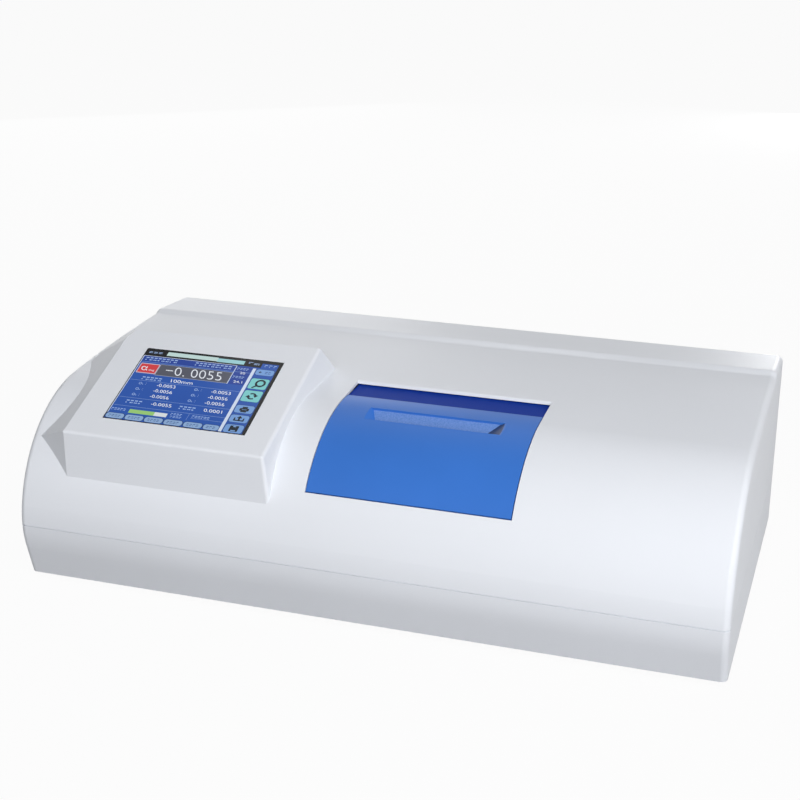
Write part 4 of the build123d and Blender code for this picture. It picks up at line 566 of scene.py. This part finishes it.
# Placeholders for lines of print: left, middle height, width and height in the window
LABELS = (
    (0.035, 0.850, 0.245, 0.042), (0.400, 0.850, 0.290, 0.042), (0.095, 0.580, 0.175, 0.040),
    (0.088, 0.250, 0.130, 0.040), (0.470, 0.250, 0.140, 0.040), (0.022, 0.135, 0.110, 0.026),
    (0.440, 0.155, 0.105, 0.022), (0.445, 0.120, 0.095, 0.020), (0.590, 0.155, 0.140, 0.026),
    (0.706, 0.850, 0.085, 0.024), (0.706, 0.735, 0.085, 0.024),
)
LARGE_PRINT = 0.03
LARGE_PITCH, SMALL_PITCH = 0.030, 0.021
WORD_SHARE = 0.72

# Placeholder for a word: stroke, cut and gap as shares of its height and width, and its radius
STUB_STROKE = 0.30
STUB_CUTS = (0.38, 0.62)
STUB_GAP = 0.14
STUB_RADIUS = 0.15

# Single placeholders: left, middle height, width, height and kind
STATUS_WORDS = (
    (0.030, 0.942, 0.026, 0.020, 1), (0.066, 0.942, 0.026, 0.020, 1), (0.102, 0.942, 0.026, 0.020, 1),
    (0.760, 0.948, 0.030, 0.020, 0), (0.800, 0.936, 0.040, 0.020, 1), (0.880, 0.926, 0.020, 0.026, 0),
    (0.912, 0.926, 0.020, 0.026, 0), (0.944, 0.926, 0.020, 0.026, 0),
)
KEY_WORDS = ((0.908, 0.832, 0.016, 0.028, 1), (0.930, 0.832, 0.016, 0.028, 1))

# Marks before the six results: their rows and columns in the window, the ring's shift, radius and
# width, and three boxes round the mark's own place
RESULT_ROWS = (0.505, 0.428, 0.351)
RESULT_COLUMNS = (0.098, 0.500)
RESULT_RING_SHIFT, RESULT_RING_RADIUS, RESULT_RING_WIDTH = 0.010, 1.5, 0.6
RESULT_BOXES = ((0.026, -0.014, 0.031, -0.004, 0.2), (0.048, -0.012, 0.051, -0.006, 0.1),
                (0.048, 0.006, 0.051, 0.012, 0.1))

# Icon outlines, round their own middles
BACK_ARROW = [(-2.0, 0), (1.0, 1.9), (0.3, 0.5), (1.8, 0.5), (1.8, -0.5), (0.3, -0.5), (1.0, -1.9)]
LENS_HANDLE = [(-1.9, -1.4), (-0.9, -2.4), (2.2, 0.7), (1.2, 1.7)]
UP_ARROW = [(-0.9, -2.4), (0.9, -2.4), (0.9, 0.2), (2.6, 0.2), (0, 3.2), (-2.6, 0.2), (-0.9, 0.2)]
ARROW_TIP = [(-2.9, -0.6), (2.9, -0.6), (0, 3.2)]

# Icons: place in the window, then outline and scale, or radius and width in millimetres
ICON_SHAPES = ((0.872, 0.834, BACK_ARROW, 0.95), (0.884, 0.637, LENS_HANDLE, 1.35),
               (0.906, 0.204, UP_ARROW, 1.2))
LENS_RING = (0.916, 0.684, 4.7, 2.4)
REPEAT_U, REPEAT_V, REPEAT_RADIUS, REPEAT_WIDTH = 0.906, 0.504, 4.1, 1.8
REPEAT_START, REPEAT_SWEEP = 20, 110


def screen_matrix():
    """From the screen's own millimetres, with Z out of the glass, to the part's frame."""
    across = Vector((1, 0, 0))
    up = Vector((0, math.cos(math.radians(TILT)), math.sin(math.radians(TILT))))
    out = across.cross(up)
    turn = Matrix((across, up, out)).transposed().to_4x4()
    face = GLASS_CENTRE + out * GLASS_HALF * MM
    return Matrix.Translation(face) @ turn @ Matrix.Scale(MM, 4)


def on_window(u, v):
    """Millimetres from the window's middle, from shares of its width and height."""
    return (u - 0.5) * WINDOW_W, (v - 0.5) * WINDOW_H


class Layer:
    """One flat layer of a single finish, built from outlines and letters."""

    def __init__(self, name, colour, height):
        self.name = name
        self.material = lit(name, colour)
        self.height = height
        self.mesh = bmesh.new()

    def thicken(self, mesh, faces):
        """Flat faces raised by the layer's height, with sides."""
        raised = bmesh.ops.extrude_face_region(mesh, geom=faces)["geom"]
        corners = [item for item in raised if isinstance(item, bmesh.types.BMVert)]
        bmesh.ops.translate(mesh, verts=corners, vec=(0, 0, self.height))

    def outline(self, points):
        corners = [self.mesh.verts.new((x, y, 0)) for x, y in points]
        self.thicken(self.mesh, [self.mesh.faces.new(corners)])

    def box(self, u0, v0, u1, v1, radius=0.0):
        """A rectangle between window shares, its corners rounded by a radius in millimetres."""
        x0, y0 = on_window(u0, v0)
        x1, y1 = on_window(u1, v1)
        if not radius:
            self.outline([(x0, y0), (x1, y0), (x1, y1), (x0, y1)])
            return
        points = []
        corners = [(x1 - radius, y0 + radius, -90), (x1 - radius, y1 - radius, 0),
                   (x0 + radius, y1 - radius, 90), (x0 + radius, y0 + radius, 180)]
        for cx, cy, start in corners:
            for step in range(CORNER_STEPS + 1):
                angle = math.radians(start + 90 * step / CORNER_STEPS)
                points.append((cx + radius * math.cos(angle), cy + radius * math.sin(angle)))
        self.outline(points)

    def polygon(self, u, v, shape, size):
        """An outline, scaled by a size and centred on a place in the window."""
        cx, cy = on_window(u, v)
        self.outline([(cx + x * size, cy + y * size) for x, y in shape])

    def ring(self, u, v, radius, width, start=0.0, sweep=360.0):
        cx, cy = on_window(u, v)
        arcs = [math.radians(start + sweep * i / RING_STEPS) for i in range(RING_STEPS + 1)]
        inner, outer = radius - width / 2, radius + width / 2
        for a, b in zip(arcs, arcs[1:]):
            self.outline([(cx + r * math.cos(t), cy + r * math.sin(t))
                          for r, t in ((inner, a), (outer, a), (outer, b), (inner, b))])

    def word_stub(self, u, v, width, height, kind):
        """A placeholder for a word: a whole stroke over one that is short or has a gap."""
        stroke = height * STUB_STROKE
        cut = width * STUB_CUTS[kind % 2]
        top, bottom = v + height / 2, v - height / 2
        self.box(u, top - stroke, u + width, top, STUB_RADIUS)
        self.box(u, bottom, u + cut, bottom + stroke, STUB_RADIUS)
        if kind % 3:
            self.box(u + cut + width * STUB_GAP, bottom, u + width, bottom + stroke, STUB_RADIUS)

    def words(self, text, u0, u1, v, height, thin=0.0):
        """Letters that fill a width between two window shares, their height in millimetres."""
        curve = bpy.data.curves.new("words", "FONT")
        curve.body = text
        curve.offset = -thin
        curve.resolution_u = 3
        holder = bpy.data.objects.new("words", curve)
        bpy.context.scene.collection.objects.link(holder)
        bpy.context.view_layer.update()
        evaluated = holder.evaluated_get(bpy.context.evaluated_depsgraph_get())
        letters = bpy.data.meshes.new_from_object(evaluated)
        across = [vertex.co.x for vertex in letters.vertices]
        along = [vertex.co.y for vertex in letters.vertices]
        to_x = (u1 - u0) * WINDOW_W / (max(across) - min(across))
        to_y = height / (max(along) - min(along))
        left, middle = on_window(u0, v)
        for vertex in letters.vertices:
            x = (vertex.co.x - min(across)) * to_x
            y = (vertex.co.y - min(along)) * to_y - height / 2
            vertex.co = (left + x - LETTER_LEAN * y, middle + y, 0)
        plate = bmesh.new()
        plate.from_mesh(letters)
        self.thicken(plate, plate.faces[:])
        plate.to_mesh(letters)
        plate.free()
        self.mesh.from_mesh(letters)
        bpy.data.objects.remove(holder)
        bpy.data.meshes.remove(letters)

    def finish(self):
        mesh = bpy.data.meshes.new(self.name)
        bmesh.ops.recalc_face_normals(self.mesh, faces=self.mesh.faces)
        self.mesh.to_mesh(mesh)
        self.mesh.free()
        mesh.transform(screen_matrix())
        mesh.materials.append(self.material)
        piece = bpy.data.objects.new(self.name, mesh)
        bpy.context.scene.collection.objects.link(piece)
        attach(piece, "housing")


def draw_buttons(layers):
    """Tabs and keys, each on a slightly larger dark edge."""
    edges = layers["screen_button_edges"]
    for tab in range(TAB_COUNT):
        left = TAB_LEFT + tab * TAB_PITCH
        right = left + (LAST_TAB_WIDTH if tab == TAB_COUNT - 1 else TAB_WIDTH)
        edges.box(left - TAB_EDGE_BESIDE, TAB_BOTTOM - TAB_EDGE_BELOW, right + TAB_EDGE_BESIDE,
                  TAB_TOP + EDGE_ABOVE, TAB_RADIUS + EDGE_RADIUS)
        layers["screen_buttons"].box(left, TAB_BOTTOM, right, TAB_TOP, TAB_RADIUS)
    for name, radius, rows in KEYS:
        for bottom, top in rows:
            edges.box(KEY_LEFT - KEY_EDGE_BESIDE, bottom - KEY_EDGE_BELOW,
                      KEY_RIGHT + KEY_EDGE_BESIDE, top + EDGE_ABOVE, radius + EDGE_RADIUS)
            layers[name].box(KEY_LEFT, bottom, KEY_RIGHT, top, radius)


def draw_labels(labels):
    """Placeholders for print on the field, and a small mark before each result."""
    for u, v, width, height in LABELS:
        pitch = LARGE_PITCH if height > LARGE_PRINT else SMALL_PITCH
        for i in range(int(width / pitch)):
            labels.word_stub(u + i * pitch, v, pitch * WORD_SHARE, height, i)
    for v in RESULT_ROWS:
        for u in RESULT_COLUMNS:
            labels.ring(u + RESULT_RING_SHIFT, v, RESULT_RING_RADIUS, RESULT_RING_WIDTH)
            for left, bottom, right, top, radius in RESULT_BOXES:
                labels.box(u + left, v + bottom, u + right, v + top, radius)
    for word in STATUS_WORDS:
        labels.word_stub(*word)


def draw_captions(captions):
    """Placeholders for print on the tabs and on the top key; the last tab is the shortest."""
    for tab in range(TAB_COUNT):
        left = TAB_LEFT + tab * TAB_PITCH + TAB_WORD_INSET
        for i in range(LAST_TAB_WORDS if tab == TAB_COUNT - 1 else TAB_WORDS):
            captions.word_stub(left + i * TAB_WORD_PITCH, *TAB_WORD, tab + i)
    for word in KEY_WORDS:
        captions.word_stub(*word)


def draw_icons(icons):
    """Back arrow, magnifier, repeat arrows and upload arrow; the boxes add printer and disk."""
    for shape in ICON_SHAPES:
        icons.polygon(*shape)
    icons.ring(*LENS_RING)
    for turn, sign in ((0, -1), (180, 1)):
        start = turn + REPEAT_START
        icons.ring(REPEAT_U, REPEAT_V, REPEAT_RADIUS, REPEAT_WIDTH, start, REPEAT_SWEEP)
        u = REPEAT_U + REPEAT_RADIUS * math.cos(math.radians(start)) / WINDOW_W
        v = REPEAT_V + REPEAT_RADIUS * math.sin(math.radians(start)) / WINDOW_H
        icons.polygon(u, v, [(x, y * sign) for x, y in ARROW_TIP], 1.0)


def add_display():
    layers = {name: Layer(name, colour, height) for name, (colour, height, _) in LAYERS.items()}
    for name, (_, _, boxes) in LAYERS.items():
        for box in boxes:
            layers[name].box(*box)
    for v in RULE_ROWS:
        layers["screen_lines"].box(RULE_ENDS[0], v - RULE_HALF, RULE_ENDS[1], v + RULE_HALF)
    draw_buttons(layers)
    layers["screen_marks"].words(*READING, thin=READING_THIN)
    for number in NUMBERS:
        layers["screen_marks"].words(*number)
    draw_labels(layers["screen_labels"])
    draw_captions(layers["screen_captions"])
    draw_icons(layers["screen_icons"])
    for layer in layers.values():
        layer.finish()


# Stage and light
def seen(tree):
    """1 for rays from the camera, a reflection or a clear piece, and 0 for all others."""
    path = tree.nodes.new("ShaderNodeLightPath")
    direct = either(tree, [path.outputs["Is Camera Ray"], path.outputs["Is Glossy Ray"]])
    return either(tree, [direct, path.outputs["Is Transmission Ray"]])


def blend_to(tree, output, factor, first, second):
    """Two shaders mixed by a factor, as what the tree gives."""
    mix = tree.nodes.new("ShaderNodeMixShader")
    tree.links.new(factor, mix.inputs["Fac"])
    tree.links.new(first, mix.inputs[1])
    tree.links.new(second, mix.inputs[2])
    tree.links.new(mix.outputs["Shader"], output.inputs["Surface"])


def add_floor():
    """A floor that looks near white but is dull, so it throws little light up at the part."""
    bpy.ops.mesh.primitive_plane_add(size=FLOOR_SIZE, location=(0, 0, 0))
    floor = bpy.context.object
    floor.name = "floor"
    material = bpy.data.materials.new("floor")
    material.use_nodes = True
    tree = material.node_tree
    tree.nodes.clear()
    diffuse = tree.nodes.new("ShaderNodeBsdfDiffuse")
    diffuse.inputs["Color"].default_value = FLOOR_COLOUR
    glow = tree.nodes.new("ShaderNodeEmission")
    glow.inputs["Strength"].default_value = FLOOR_GLOW
    share = arithmetic(tree, "MULTIPLY", seen(tree), FLOOR_GLOW_SHARE)
    output = tree.nodes.new("ShaderNodeOutputMaterial")
    blend_to(tree, output, share, diffuse.outputs["BSDF"], glow.outputs["Emission"])
    floor.data.materials.append(material)


def add_world():
    """A white backdrop that gives the part only a faint light."""
    world = bpy.data.worlds.new("world")
    bpy.context.scene.world = world
    world.use_nodes = True
    tree = world.node_tree
    tree.nodes.clear()
    ambient = tree.nodes.new("ShaderNodeBackground")
    ambient.inputs["Color"].default_value = AMBIENT_COLOUR
    ambient.inputs["Strength"].default_value = AMBIENT_LEVEL
    backdrop = tree.nodes.new("ShaderNodeBackground")
    backdrop.inputs["Color"].default_value = BACKDROP_COLOUR
    backdrop.inputs["Strength"].default_value = 1.0
    output = tree.nodes.new("ShaderNodeOutputWorld")
    blend_to(tree, output, seen(tree), ambient.outputs["Background"], backdrop.outputs["Background"])


def add_lamp(name, place, target, side, power):
    lamp = bpy.data.lights.new(name, "AREA")
    lamp.shape = "SQUARE"
    lamp.size = side
    lamp.energy = power
    holder = bpy.data.objects.new(name, lamp)
    aim = (Vector(target) - Vector(place)).to_track_quat("-Z", "Y")
    holder.matrix_world = Matrix.Translation(place) @ aim.to_matrix().to_4x4()
    bpy.context.scene.collection.objects.link(holder)


add_camera()
add_floor()
add_world()
for row in LAMPS:
    add_lamp(*row)

dress_cad_nodes()
add_display()

bpy.context.scene.view_settings.view_transform = "Standard"
